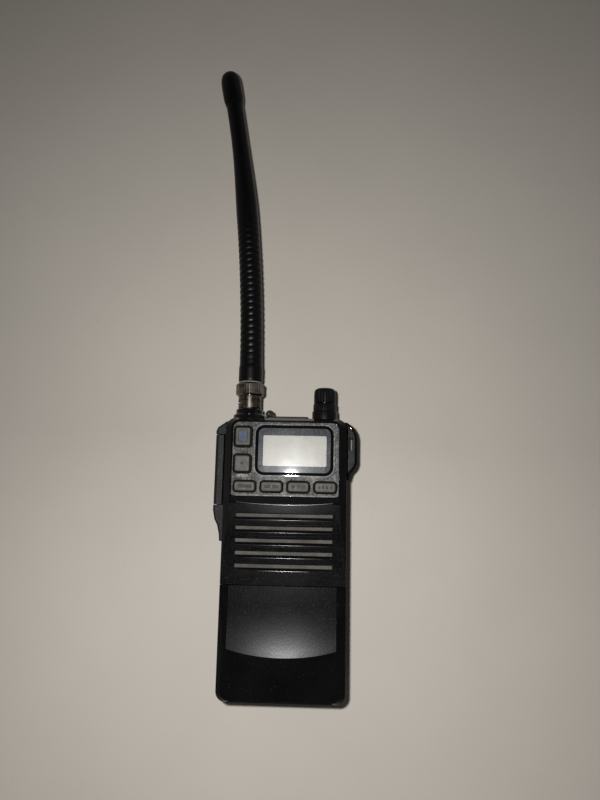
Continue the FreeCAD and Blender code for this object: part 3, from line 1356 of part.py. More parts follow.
def even_steps(start, end, radius, count):
    """Stations of one radius, evenly spaced."""
    return [(f"({start}) + (({end}) - ({start})) * {step} / {count}", radius)
            for step in range(count + 1)]


def make_antenna():
    """Rubber sleeve, coil, core and cap."""
    sleeve = bent_rod("Sleeve", [
        ("0", "boot_radius - 0.5"), ("0.8", "boot_radius - 0.1"), ("boot_length - 1", "boot_radius"),
        *even_steps("boot_length + 1", "taper_start", "sleeve_radius", 4),
        *[(f"taper_start + (taper_end - taper_start) * {step} / 3",
           f"sleeve_radius + (thin_radius - sleeve_radius) * {step} / 3") for step in (1, 2, 3)],
        ("sleeve_length", "thin_radius")])
    coil_end = "(neck_length + coil_length + 6)"
    wide = bent_rod("SleeveWideBore", even_steps("-1", coil_end, "coil_bore", 5))
    narrow = bent_rod("SleeveNarrowBore",
                      even_steps(f"{coil_end} - 1", "sleeve_length + 1", "core_radius + 0.1", 6))
    keep("antenna_sleeve", stand_on_base(cut("AntennaSleeve", sleeve, wide, narrow)))
    core = bent_rod("AntennaCore", even_steps("neck_length + 0.2", "sleeve_length + 9", "core_radius", 9))
    keep("antenna_core", stand_on_base(core))
    make_coil()
    make_tip()


def make_coil():
    """Wire coil round the core, on the chord of its stretch of the bend."""
    helix = DOC.addObject("Part::Helix", "CoilPath")
    for field, text in (("Pitch", "coil_pitch"), ("Height", "coil_length"), ("Radius", "coil_radius")):
        bind(helix, field, text)
    wire = DOC.addObject("Part::Circle", "CoilWire")
    bind(wire, "Radius", "coil_wire")
    wire.Placement = Placement(Vector(), Rotation(Vector(1, 0, 0), 90))
    place(wire, "coil_radius", "0", "0")
    coil = DOC.addObject("Part::Sweep", "AntennaCoil")
    coil.Sections = [wire]
    coil.Spine = (helix, ["Edge1"])
    coil.Solid = True
    coil.Frenet = True
    start = value("neck_length + 1")
    middle = value("neck_length + 1 + coil_length / 2")
    bend = value("antenna_bend")
    sag = value("coil_length * coil_length / (16 * antenna_bend)")
    lean = Rotation(Vector(0, 0, 1), math.degrees(middle / bend))
    coil.Placement = Placement(Vector(), lean.multiply(TURN_TO["y"]))
    across, up, _ = along_bend(str(start))
    place(coil, f"antenna_x + {across} + {sag}", f"antenna_base + {up}", "fitting_height")
    keep("antenna_coil", coil)


def make_tip():
    """Rounded cap, straight on the end of the sleeve."""
    body = new_body("AntennaTip")
    sketch = level(body, "0")
    polygon(sketch, (
        ("core_radius + 0.1", "0"), ("thin_radius + 0.1", "0"), ("tip_radius - 0.2", "3"),
        ("tip_radius", "5"), ("tip_radius", "tip_length - 5.2"), ("tip_radius - 0.7", "tip_length - 2.9"),
        ("tip_radius - 2.2", "tip_length - 0.9"), ("tip_radius - 3.8", "tip_length - 0.1"),
        ("0", "tip_length"), ("0", "10"), ("core_radius + 0.1", "10")))
    item = feature(body, "Revolution", sketch)
    item.ReferenceAxis = (origin_part(body, "Y_Axis"), [""])
    item.Angle = 360
    across, up, _ = along_bend("sleeve_length")
    lean = math.degrees(value("sleeve_length / antenna_bend"))
    body.Placement = Placement(Vector(), Rotation(Vector(0, 0, 1), lean))
    place(body, f"antenna_x + {across}", f"antenna_base + {up}", "fitting_height")
    keep("antenna_tip", body)


# ---------------------------------------------------------------- battery

def make_battery_case():
    body = new_body("BatteryCase")
    ends = (FOOT, BATTERY_TOP)
    base = level(body, "lid_height")
    rectangle(base, side_span("0"), ends, "foot_radius", None)
    pad(body, base, f"{SHOULDER} - lid_height")
    shoulder = level(body, SHOULDER)
    rectangle(shoulder, side_span("0"), ends, "foot_radius", None)
    crest = level(body, "body_depth")
    rectangle(crest, side_span("side_chamfer"), (f"{FOOT} + foot_chamfer", BATTERY_TOP),
              "foot_radius - 1.5", None)
    loft(body, "AdditiveLoft", shoulder, crest)
    shape_battery_front(body)
    hollow_battery(body)
    skirt = upright(body, BATTERY_TOP)
    rectangle(skirt, side_span("wall + 0.2"), ("cell_floor", "lid_height + 1"))
    pad(body, skirt, "wall")
    rail = lengthwise(body, "rail_left")
    polygon(rail, rail_outline("0", f"{BATTERY_TOP} - 0.5"))
    pad(body, rail, f"{HALF} - 2 - rail_left")
    catch = upright(body, f"{BATTERY_TOP} - 1.2")
    rectangle(catch, span("tongue_x", "1.8"), ("release_back + 0.5", "release_front - 0.5"))
    pocket(body, catch, "2", along_normal=False)
    pads = upright(body, f"{BATTERY_TOP} - 0.5")
    for step in (-1, 0, 1):
        rectangle(pads, span(f"contact_x + contact_pitch * {step}", "2.3"), span("contact_height", "4.3"))
    pocket(body, pads, "1", along_normal=False)
    grooves = level(body, "lid_height - 0.5")
    for low, high in (("0.45", "1.35"), ("1.35", "0.45")):
        side = (f"-{HALF} + {low}", f"-{HALF} + {high}") if low < high else (
            f"{HALF} - {low}", f"{HALF} - {high}")
        rectangle(grooves, side, (f"{FOOT} - 1", f"{BATTERY_TOP} - 2.5"))
    pocket(body, grooves, "1.7")
    return keep("battery_case", body)


def shape_battery_front(body):
    """Crowned front with cheeks that dip to the seam, and the scoop between them."""
    start, end = value("cheek_start"), value("cheek_end")
    low, high = value("cheek_height"), value("body_depth")
    top, foot = value("seam_place") + 1, value(FOOT) - 2
    spine = (straight(top, start, low), *rise(start, end, low, high), straight(end, foot, high))
    crown_cut(body, "plateau_crown", f"{HALF} + 3", "cheek_height", "seam_place + 1", spine)
    begin, radius = value("scoop_start"), value("scoop_radius")
    floor = value("waist_height")
    bowl = arc(Vector(begin, floor + radius, 0), radius, 270 - 18, 270)
    crown_cut(body, "front_crown", "scoop_width / 2", "waist_height", "seam_place + 1",
              (straight(top, begin, floor), bowl))


def hollow_battery(body):
    """Space for the cells, with sloped edges beside its roof."""
    ends = (f"{FOOT} + wall", f"{BATTERY_TOP} - wall")
    floor = level(body, "lid_height")
    rectangle(floor, side_span("wall"), ends, "foot_radius - wall", None)
    pocket(body, floor, "roof_height - roof_slope - lid_height")
    lower = level(body, "roof_height - roof_slope")
    rectangle(lower, side_span("wall"), ends, "foot_radius - wall", None)
    upper = level(body, "roof_height")
    rectangle(upper, side_span("wall + roof_slope"), (f"{FOOT} + wall + 0.5", f"{BATTERY_TOP} - wall"),
              "foot_radius - wall - 1", None)
    loft(body, "SubtractiveLoft", lower, upper)


def make_battery_cover():
    """Lid of the battery: a tray that is open towards the radio."""
    body = new_body("BatteryCover")
    outline = level(body, "0")
    rectangle(outline, side_span("0"), (FOOT, BATTERY_TOP), "foot_radius", None)
    pad(body, outline, "lid_height - lid_gap")
    top = value(BATTERY_TOP)
    flat = at_height("0")
    fillet(body, "back_radius - 0.8",
           lambda edge: flat(edge) and edge.BoundBox.YMin < top - 1)
    room = level(body, "wall - 0.1")
    rectangle(room, side_span("wall - 0.1"), (f"{FOOT} + wall", f"{BATTERY_TOP} + 1"),
              "foot_radius - wall", None)
    pocket(body, room, "lid_height")
    tongues = level(body, "lid_height - lid_gap")
    for low, high in (("0.65", "1.15"), ("1.15", "0.65")):
        side = (f"-{HALF} + {low}", f"-{HALF} + {high}") if low < high else (
            f"{HALF} - {low}", f"{HALF} - {high}")
        rectangle(tongues, side, (f"{FOOT} + 8", f"{BATTERY_TOP} - 3"))
    pad(body, tongues, "1")
    return keep("battery_cover", body)


def cell_spots():
    """Row, layer and direction of each of the six cells."""
    middle = f"({FOOT} + {BATTERY_TOP}) / 2"
    for row in (-1, 0, 1):
        for layer in (0, 1):
            facing = 1 if (row + layer) % 2 == 0 else -1
            yield (f"{middle} + cell_pitch * {row}",
                   f"cell_floor + cell_radius + layer_pitch * {layer}", facing)


def make_cells():
    """Six cells, a coil spring at each flat end and the contact plates."""
    cells = []
    springs = []
    for y, z, facing in cell_spots():
        near, far = "-cell_length / 2", "cell_length / 2"
        if facing > 0:
            can, cap = (near, f"{far} - cell_cap"), (f"{far} - cell_cap - 0.1", far)
        else:
            can, cap = (f"{near} + cell_cap", far), (near, f"{near} + cell_cap + 0.1")
        case = rod("CellCan", "x", "cell_radius", (y, z), can)
        nub = rod("CellCap", "x", "2.7", (y, z), cap)
        cells.append(fuse("Cell", case, nub))
        springs.append(make_cell_spring(y, z, -facing))
    keep("aa_cells", group("AaCells", *cells))
    keep("cell_springs", group("CellSprings", *springs))
    plates = [box("CellPlate", (f"{side}", f"{side} + contact_thickness"),
                  span(f"({FOOT} + {BATTERY_TOP}) / 2 + cell_pitch * {row}", "12"),
                  ("5", "roof_height - roof_slope - 0.3"))
              for side in (f"{INNER} - contact_thickness - 0.05", f"-{INNER} + 0.05")
              for row in (-1, 0, 1)]
    pads = [box("PowerPad", span(f"contact_x + contact_pitch * {step}", "2.2"),
                (f"{BATTERY_TOP} - 0.5", BATTERY_TOP), span("contact_height", "4.2"))
            for step in (-1, 0, 1)]
    keep("cell_contacts", group("CellContacts", *plates, *pads))


def make_cell_spring(y, z, side):
    """Coil spring between a cell's flat end and its contact plate."""
    room = "(body_width / 2 - wall - 0.05 - contact_thickness - cell_length / 2)"
    helix = DOC.addObject("Part::Helix", "SpringPath")
    bind(helix, "Pitch", f"({room} - 0.6)")
    bind(helix, "Height", f"{room} - 0.6")
    bind(helix, "Radius", "cell_radius - 3.6")
    wire = DOC.addObject("Part::Circle", "SpringWire")
    wire.Radius = 0.25
    wire.Placement = Placement(Vector(), Rotation(Vector(1, 0, 0), 90))
    place(wire, "cell_radius - 3.6", "0", "0")
    coil = DOC.addObject("Part::Sweep", "CellSpring")
    coil.Sections = [wire]
    coil.Spine = (helix, ["Edge1"])
    coil.Solid = True
    coil.Frenet = True
    coil.Placement = Placement(Vector(), Rotation(Vector(0, 1, 0), 90 * side))
    place(coil, f"{side} * (cell_length / 2 + 0.3)", y, z)
    return coil


# ---------------------------------------------------------------- checks and files

def check_document():
    """Stops when any object failed or any sub-part is empty or invalid."""
    for item in DOC.Objects:
        faults = {"Invalid", "Error"} & set(item.State)
        if faults:
            raise RuntimeError(f"{item.Name} failed: {item.State}")
    labels = [item.Label for item in NODES]
    if len(set(labels)) != len(labels):
        raise RuntimeError("two sub-parts share a label")
    for item in NODES:
        shape = item.Shape
        if shape.isNull() or not shape.isValid() or not shape.Solids:
            raise RuntimeError(f"{item.Label} has no valid solid")


def write_parts():
    os.makedirs("parts", exist_ok=True)
    for item in NODES:
        item.Shape.exportStep(f"parts/{item.Label}.step")
        print(f"{item.Label}: {len(item.Shape.Solids)} solids, {item.Shape.Volume:.1f} mm3")


def main():
    make_front_case()
    make_rear_case()
    make_case_seal()
    make_key_panel()
    make_display()
    for name, key in KEYS.items():
        make_key(name, key)
    make_keypad_mat()
    make_boards()
    make_shield()
    make_speaker()
    make_power_contacts()
    make_talk_switch()
    make_release()
    make_rail_plate()
    make_fasteners()
    make_antenna_jack()
    make_bayonet_ring()
    make_plug()
    make_controls()
    make_audio()
    make_antenna()
    make_battery_case()
    make_battery_cover()
    make_cells()
    DOC.recompute()
    check_document()
    write_parts()


main()
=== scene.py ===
"""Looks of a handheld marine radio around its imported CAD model, in the layout of a Blender add-on."""
import json
import math

import bmesh
import bpy
from bpy.props import FloatProperty, FloatVectorProperty, IntProperty, PointerProperty
from mathutils import Euler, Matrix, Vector
from mathutils.bvhtree import BVHTree
from mathutils.interpolate import poly_3d_calc


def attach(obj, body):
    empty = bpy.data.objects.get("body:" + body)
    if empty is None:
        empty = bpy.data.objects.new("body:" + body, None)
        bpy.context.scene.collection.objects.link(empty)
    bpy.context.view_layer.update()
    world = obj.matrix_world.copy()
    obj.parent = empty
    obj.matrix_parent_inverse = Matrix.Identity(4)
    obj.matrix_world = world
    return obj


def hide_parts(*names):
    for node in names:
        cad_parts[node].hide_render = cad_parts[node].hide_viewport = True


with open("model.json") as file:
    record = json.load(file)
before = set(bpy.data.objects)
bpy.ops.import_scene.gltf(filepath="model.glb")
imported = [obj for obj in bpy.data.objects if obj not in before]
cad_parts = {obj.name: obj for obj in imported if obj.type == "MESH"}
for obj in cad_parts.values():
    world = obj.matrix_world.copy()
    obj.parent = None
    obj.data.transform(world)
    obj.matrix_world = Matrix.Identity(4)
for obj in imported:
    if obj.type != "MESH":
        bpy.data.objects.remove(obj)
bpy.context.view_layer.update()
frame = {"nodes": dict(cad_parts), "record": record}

bl_info = {
    "name": "Handheld marine radio",
    "version": (1, 0, 0),
    "blender": (4, 5, 0),
    "location": "View3D > Sidebar > Radio",
    "description": "Fine pieces, finishes and stage of a handheld marine radio",
    "category": "Object",
}

MM = 0.001
SLOT_OF = {entry["node"]: entry["material_slot"] for entry in frame["record"]["subparts"]}


def colour(name, description, default):
    return FloatVectorProperty(name=name, description=description, default=default, size=3,
                               min=0.0, max=1.0, subtype="COLOR")


def length(name, description, default):
    return FloatProperty(name=name, description=description, default=default * MM, min=0.0,
                         precision=5, unit="LENGTH")


class CaseLooks(bpy.types.PropertyGroup):
    """Sizes and colours of the mouldings"""
    plastic: colour("Case plastic", "Black moulded plastic of both cases", (0.0042, 0.0042, 0.0043))
    # pale specks in this colour are partly dust and partly painted glints of the moulded grain
    dust_and_glint: colour("Dust", "Pale dust in the grain", (0.03, 0.029, 0.028))
    edge: length("Edge rounding", "Rounding of the moulded edges", 0.16)
    grain: length("Grain", "Size of the moulded grain", 0.35)
    grain_depth: length("Grain depth", "Depth of the moulded grain", 0.006)
    cloth: colour("Speaker cloth", "Dusty cloth behind the slots", (0.1, 0.092, 0.08))


class PanelLooks(bpy.types.PropertyGroup):
    """Sizes and colours of the key panel, keys and display"""
    paint: colour("Panel paint", "Metallic grey of the key panel", (0.026, 0.0256, 0.025))
    # the pale line is print round the window and a painted highlight along the panel's foot
    line: colour("Panel line", "Pale line round the window and the panel's foot", (0.08, 0.077, 0.07))
    line_width: length("Line width", "Width of the pale line", 0.45)
    skirt: colour("Key skirt", "Sloped edge of a key", (0.012, 0.011, 0.008))
    face: colour("Key face", "Pale top of a key", (0.072, 0.067, 0.056))
    blue: colour("Key square", "Blue square on the upper key", (0.036, 0.052, 0.09))
    mark: colour("Key mark", "Dark generic marks on the keys", (0.02, 0.015, 0.012))
    display: colour("Display", "Pale face of the liquid crystal panel", (0.69, 0.67, 0.59))
    border: colour("Display frame", "Printed frame around the display", (0.007, 0.009, 0.016))


class MetalLooks(bpy.types.PropertyGroup):
    """Colours of the metal pieces"""
    nickel: colour("Nickel", "Worn nickel of the antenna coupling", (0.14, 0.12, 0.1))
    stain: colour("Stain", "Dark stains on the coupling", (0.03, 0.024, 0.018))


class AntennaLooks(bpy.types.PropertyGroup):
    """Sizes and colours of the rubber antenna"""
    rubber: colour("Antenna rubber", "Black rubber of the antenna", (0.002, 0.002, 0.0021))
    rib_pitch: length("Rib pitch", "Distance between the ribs", 3.27)
    rib_depth: length("Rib depth", "Depth between the ribs", 0.42)
    rib_end: length("Rib end", "Where the ribs fade out, from the foot", 92.0)


class KnobLooks(bpy.types.PropertyGroup):
    """Flutes of the two knobs"""
    ring_flutes: IntProperty(name="Ring flutes", description="Flutes on the squelch ring", default=24, min=3)
    knob_flutes: IntProperty(name="Knob flutes", description="Flutes on the volume knob", default=18, min=3)
    depth: length("Flute depth", "Depth of the flutes", 0.35)


class StageLooks(bpy.types.PropertyGroup):
    """Floor, lights and lens"""
    floor: colour("Floor", "Pale floor", (0.454, 0.416, 0.366))
    lamp_power: FloatProperty(name="Lamp power", description="Power of the lamp above the object",
                              default=0.907, min=0.0, unit="POWER")
    lamp_size: length("Lamp size", "Width of the lamp above the object", 12.0)
    low_power: FloatProperty(name="Slanted power", default=0.774, min=0.0, unit="POWER",
                             description="Power of the part of the lamp that shines past the foot")
    low_spread: FloatProperty(name="Slanted spread", description="Opening angle of that part of the lamp",
                              default=math.radians(164.6), min=0.0, max=math.pi, unit="ROTATION")
    sky: FloatProperty(name="Sky", description="Strength of the even light from the horizon", default=0.2,
                       min=0.0)
    zenith: FloatProperty(name="Zenith", description="Strength of the even light from above", default=0.01,
                          min=0.0)
    lens: FloatProperty(name="Lens", description="Focal length of the camera in millimetres", default=25.965,
                        min=1.0)


# ---------------------------------------------------------------- finishes

MADE = {}
TEXTURE_SCALE = 0.6
SPECK_RAMP = 0.12
BEVEL_SAMPLES = 6


def scaled(tone, by):
    return [by * part for part in tone]


def new_finish(name):
    """An empty finish with its shader, or None when it is already made."""
    if name in MADE:
        return None
    MADE[name] = bpy.data.materials.new(name + "_finish")
    MADE[name].use_nodes = True
    return MADE[name]


def add(tree, kind, **values):
    """A new shader node with values for its inputs or, where it has no such input, its settings."""
    node = tree.nodes.new(kind)
    for key, entry in values.items():
        if key in node.inputs:
            node.inputs[key].default_value = entry
        else:
            setattr(node, key, entry)
    return node


def noise(tree, size, detail=2.0, roughness=0.5):
    """Noise whose features are about as large as size, in metres."""
    place = add(tree, "ShaderNodeTexCoord").outputs["Object"]
    node = add(tree, "ShaderNodeTexNoise", Scale=TEXTURE_SCALE / size, Detail=detail, Roughness=roughness)
    tree.links.new(place, node.inputs["Vector"])
    return node.outputs["Fac"]


def spread(tree, source, low, high, start=0.35, end=0.65):
    """Source between start and end turned into low to high."""
    node = add(tree, "ShaderNodeMapRange")
    for key, entry in (("From Min", start), ("From Max", end), ("To Min", low), ("To Max", high)):
        node.inputs[key].default_value = entry
    tree.links.new(source, node.inputs["Value"])
    return node.outputs["Result"]


def blend_colours(tree, factor, first, second):
    """Colour that goes from first to second with the factor; each is a colour or a socket."""
    node = add(tree, "ShaderNodeMix", data_type="RGBA")
    for socket, entry in ((node.inputs[6], first), (node.inputs[7], second)):
        if isinstance(entry, bpy.types.NodeSocket):
            tree.links.new(entry, socket)
        else:
            socket.default_value = (*entry, 1.0)
    tree.links.new(factor, node.inputs[0])
    return node.outputs[2]


def finish(name, tone, patch=None, patch_size=0.012, rough=(0.4, 0.5), grain=None, specks=None, metallic=0.0,
           edge=None, sheen=0.0, shine=0.15):
    """Shader whose colour goes from tone to patch, and its roughness over rough, in patches of a size.

    grain is the (size, depth) of a bump, specks are (size, level, colour, strength), edge is the radius that
    sharp edges are shaded with, and shine is the strength of the gloss.
    """
    material = new_finish(name)
    if material is None:
        return MADE[name]
    tree = material.node_tree
    shader = tree.nodes["Principled BSDF"]
    broad = noise(tree, patch_size, 4.0, 0.6)
    paint = blend_colours(tree, spread(tree, broad, 0.0, 1.0), tone, patch or scaled(tone, 0.7))
    if specks:
        size, level, tint, strength = specks
        dots = spread(tree, noise(tree, size, 1.0), 0.0, strength, level, level + SPECK_RAMP)
        paint = blend_colours(tree, dots, paint, tint)
    tree.links.new(paint, shader.inputs["Base Color"])
    tree.links.new(spread(tree, broad, *rough), shader.inputs["Roughness"])
    normal = None
    if edge:
        normal = add(tree, "ShaderNodeBevel", Radius=edge, samples=BEVEL_SAMPLES).outputs["Normal"]
    if grain:
        bump = add(tree, "ShaderNodeBump", Strength=1.0, Distance=grain[1])
        tree.links.new(noise(tree, grain[0], 2.0), bump.inputs["Height"])
        if normal:
            tree.links.new(normal, bump.inputs["Normal"])
        normal = bump.outputs["Normal"]
    if normal:
        tree.links.new(normal, shader.inputs["Normal"])
    shader.inputs["Metallic"].default_value = metallic
    shader.inputs["Sheen Weight"].default_value = sheen
    shader.inputs["Specular IOR Level"].default_value = shine
    return material


def case_plastic():
    """Smooth black of the flat top and the flanks, faintly smudged, with pale specks of dust and painted
    glints.
    """
    case = bpy.context.scene.case_looks
    return finish("case_plastic", case.plastic, scaled(case.plastic, 0.6), patch_size=0.006,
                  rough=(0.03, 0.045), specks=(0.0004, 0.64, case.dust_and_glint, 0.3), shine=0.22)


def front_plastic():
    """Fine texture round the speaker slots, with pale specks of dust and painted glints."""
    case = bpy.context.scene.case_looks
    return finish("front_plastic", scaled(case.plastic, 0.5), case.plastic, patch_size=0.004,
                  rough=(0.3, 0.33), grain=(case.grain, 0.5 * case.grain_depth),
                  specks=(0.0004, 0.58, case.dust_and_glint, 0.35), shine=0.038)


def lip_plastic():
    """Rounded lips at the slots and the crest, worn smooth."""
    case = bpy.context.scene.case_looks
    return finish("lip_plastic", case.plastic, patch_size=0.003, rough=(0.18, 0.22), shine=0.45)


def textured_plastic():
    """Coarser grain of the hand areas, whose glints are painted as small pale specks mixed with dust."""
    case = bpy.context.scene.case_looks
    return finish("textured_plastic", scaled(case.plastic, 0.6), scaled(case.plastic, 0.4), patch_size=0.006,
                  rough=(0.28, 0.31), grain=(1.5 * case.grain, 3 * case.grain_depth),
                  specks=(0.0005, 0.58, case.dust_and_glint, 0.3), shine=0.14)


def side_plastic():
    """Dull grain of the strip and the lug at the sides, with pale specks painted as glints of the grain."""
    case = bpy.context.scene.case_looks
    return finish("side_plastic", case.plastic, (0.007, 0.007, 0.0075), patch_size=0.004, rough=(0.5, 0.62),
                  grain=(case.grain, 2 * case.grain_depth), specks=(0.0005, 0.55, (0.05, 0.05, 0.05), 0.5))


def battery_plastic():
    """Smooth black of the battery, a little duller than the case, with pale specks of dust and painted
    glints.
    """
    case = bpy.context.scene.case_looks
    return finish("battery_plastic", scaled(case.plastic, 0.8), scaled(case.plastic, 0.5), patch_size=0.01,
                  rough=(0.12, 0.16), specks=(0.0005, 0.66, case.dust_and_glint, 0.3), shine=0.08)


def dull_plastic():
    """Dull black of the slope at the battery's lower end and of the window's border."""
    case = bpy.context.scene.case_looks
    return finish("dull_plastic", scaled(case.plastic, 0.6), patch_size=0.006, rough=(0.8, 0.9), shine=0.03)


def panel_paint():
    """Grey paint of the key panel with its many pale specks."""
    panel = bpy.context.scene.panel_looks
    return finish("panel_paint", panel.paint, scaled(panel.paint, 0.72), patch_size=0.003, rough=(0.36, 0.5),
                  grain=(0.0003, 0.00001), specks=(0.0005, 0.5, (0.16, 0.15, 0.135), 0.5), shine=0.12)


# pale line: print round the window and on the legend, painted highlight along the panel's foot
def pale_print_and_highlight():
    panel = bpy.context.scene.panel_looks
    return finish("pale_print_and_highlight", panel.line, scaled(panel.line, 0.5), patch_size=0.002, rough=(0.3, 0.42),
                  specks=(0.0005, 0.55, (0.3, 0.29, 0.27), 0.6))


def key_skirt():
    panel = bpy.context.scene.panel_looks
    return finish("key_skirt", panel.skirt, patch_size=0.002, rough=(0.45, 0.6), grain=(0.0003, 0.00001))


def key_face():
    panel = bpy.context.scene.panel_looks
    return finish("key_face", panel.face, scaled(panel.face, 0.88), patch_size=0.002, rough=(0.45, 0.6),
                  grain=(0.0003, 0.00001), specks=(0.0005, 0.6, (0.05, 0.046, 0.038), 0.4))


def key_blue():
    panel = bpy.context.scene.panel_looks
    return finish("key_blue", panel.blue, scaled(panel.blue, 0.8), patch_size=0.002, rough=(0.4, 0.5),
                  specks=(0.0006, 0.58, (0.11, 0.14, 0.2), 0.4))


def key_mark():
    panel = bpy.context.scene.panel_looks
    return finish("key_mark", panel.mark, patch_size=0.001, rough=(0.45, 0.55))


def display_face():
    panel = bpy.context.scene.panel_looks
    return finish("display_face", panel.display, scaled(panel.display, 0.93), patch_size=0.004,
                  rough=(0.35, 0.45), specks=(0.0008, 0.6, (0.54, 0.54, 0.52), 0.5))


def display_border():
    panel = bpy.context.scene.panel_looks
    return finish("display_border", panel.border, scaled(panel.border, 1.5), patch_size=0.004,
                  rough=(0.35, 0.5), specks=(0.0004, 0.55, (0.14, 0.145, 0.17), 0.6))


def speaker_cloth():
    case = bpy.context.scene.case_looks
    return finish("speaker_cloth", case.cloth, scaled(case.cloth, 0.6), patch_size=0.006, rough=(0.85, 0.95),
                  grain=(0.0004, 0.00015), specks=(0.0005, 0.5, (0.05, 0.045, 0.04), 0.6), sheen=0.3)


def antenna_rubber():
    looks = bpy.context.scene.antenna_looks
    return finish("antenna_rubber", looks.rubber, patch_size=0.01, rough=(0.3, 0.38),
                  grain=(0.0005, 0.000003), specks=(0.0004, 0.68, (0.03, 0.03, 0.03), 0.3))


# pale grey of the ring at the sleeve's foot: partly its own colour, partly a painted highlight on its rim
def sleeve_ring_and_highlight():
    return finish("sleeve_ring_and_highlight", (0.2, 0.195, 0.19), patch_size=0.003, rough=(0.3, 0.4))


def black_rubber():
    return finish("black_rubber", (0.008, 0.008, 0.0083), patch_size=0.004, rough=(0.45, 0.55),
                  grain=(0.0004, 0.00001), specks=(0.0005, 0.6, (0.04, 0.04, 0.037), 0.35))


def knob_plastic():
    return finish("knob_plastic", (0.003, 0.003, 0.003), patch_size=0.004, rough=(0.32, 0.4),
                  grain=(0.0003, 0.000005), specks=(0.0004, 0.66, (0.03, 0.03, 0.03), 0.3))


def nickel(name="nickel", stained=0.0):
    """Worn nickel; the stains cover more of it the nearer stained gets to one."""
    metal = bpy.context.scene.metal_looks
    return finish(name, metal.nickel, scaled(metal.nickel, 0.75), patch_size=0.003, rough=(0.22, 0.4),
                  grain=(0.0004, 0.00001), specks=(0.0022, 0.62 - 0.14 * stained, metal.stain, 0.9),
                  metallic=1.0, edge=0.00008)


def steel():
    return finish("steel", (0.42, 0.41, 0.4), (0.33, 0.32, 0.31), patch_size=0.004, rough=(0.25, 0.4),
                  metallic=1.0, grain=(0.0006, 0.000006), edge=0.00008)


def clear_window():
    """Clear plastic: mostly see-through, with a hazy shine."""
    material = new_finish("clear_window")
    if material is None:
        return MADE["clear_window"]
    tree = material.node_tree
    shader = tree.nodes["Principled BSDF"]
    shader.inputs["Base Color"].default_value = (0.01, 0.01, 0.011, 1.0)
    haze = noise(tree, 0.006, 4.0, 0.6)
    tree.links.new(spread(tree, haze, 0.05, 0.08), shader.inputs["Roughness"])
    shader.inputs["Alpha"].default_value = 0.16
    shader.inputs["Coat Weight"].default_value = 0.4
    shader.inputs["Coat Roughness"].default_value = 0.25
    return material


# colour, range of the roughness and share of metal
HIDDEN_FINISHES = {
    "light_guide": ((0.7, 0.7, 0.68), (0.2, 0.3), 0.0),
    "soft_cap": ((0.02, 0.02, 0.02), (0.5, 0.6), 0.0),
    "black_steel": ((0.03, 0.03, 0.032), (0.35, 0.45), 0.8),
    "brass": ((0.62, 0.43, 0.18), (0.25, 0.4), 1.0),
    "gold_contact": ((0.83, 0.62, 0.26), (0.2, 0.3), 1.0),
    "copper": ((0.72, 0.38, 0.24), (0.25, 0.35), 1.0),
    "board_green": ((0.02, 0.1, 0.045), (0.3, 0.45), 0.0),
    "insulator_white": ((0.74, 0.73, 0.7), (0.3, 0.4), 0.0),
    "contact_block": ((0.015, 0.015, 0.016), (0.4, 0.5), 0.0),
    "magnet_grey": ((0.06, 0.06, 0.065), (0.4, 0.6), 0.3),
    "cone_paper": ((0.06, 0.055, 0.05), (0.8, 0.9), 0.0),
    "glass_fibre": ((0.5, 0.52, 0.45), (0.4, 0.5), 0.0),
    "cell_jacket": ((0.05, 0.07, 0.2), (0.25, 0.35), 0.2),
}


def hidden_finish(name):
    tone, rough, metallic = HIDDEN_FINISHES[name]
    return finish(name, tone, patch_size=0.005, rough=rough, metallic=metallic, grain=(0.0005, 0.000008),
                  edge=0.0001)


SHOWN_FINISHES = {
    "case_plastic": case_plastic, "battery_plastic": battery_plastic, "panel_grey": panel_paint,
    "key_plastic": key_face, "window_clear": clear_window, "print_grey": display_border,
    "display_cell": display_face, "black_rubber": black_rubber, "antenna_rubber": antenna_rubber,
    "knob_plastic": knob_plastic, "nickel": nickel, "steel": steel, "speaker_cloth": speaker_cloth,
}


# ---------------------------------------------------------------- meshes

def show(name, mesh, body, finishes, replaced=(), sharp=35.0):
    """Puts a mesh, in metres, into the scene as a piece that rides on a body."""
    piece = bpy.data.objects.new(name, mesh)
    bpy.context.scene.collection.objects.link(piece)
    for material in finishes:
        mesh.materials.append(material)
    mesh.shade_smooth()
    if sharp:
        mesh.set_sharp_from_angle(angle=math.radians(sharp))
    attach(piece, body)
    if replaced:
        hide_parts(*replaced)
    return piece


SHARP_ANGLE = math.radians(30)
FLAT_ANGLE = math.radians(0.05)
WELD = 1e-6
EDGE_ROOM = 0.45
SAME_SURFACE = math.cos(math.radians(14))
SURFACE_REACH = 0.0003
INWARD = 0.02


def smooth_source(mesh, numbers):
    """Search tree of a CAD mesh's triangles, its points, and each triangle's corners, normals and face."""
    mesh.calc_loop_triangles()
    points = [vertex.co.copy() for vertex in mesh.vertices]
    normals = [corner.vector.copy() for corner in mesh.corner_normals]
    triangles = [(tuple(part.vertices), [normals[corner] for corner in part.loops],
                  numbers[part.polygon_index]) for part in mesh.loop_triangles]
    tree = BVHTree.FromPolygons(points, [part[0] for part in triangles])
    return tree, points, triangles


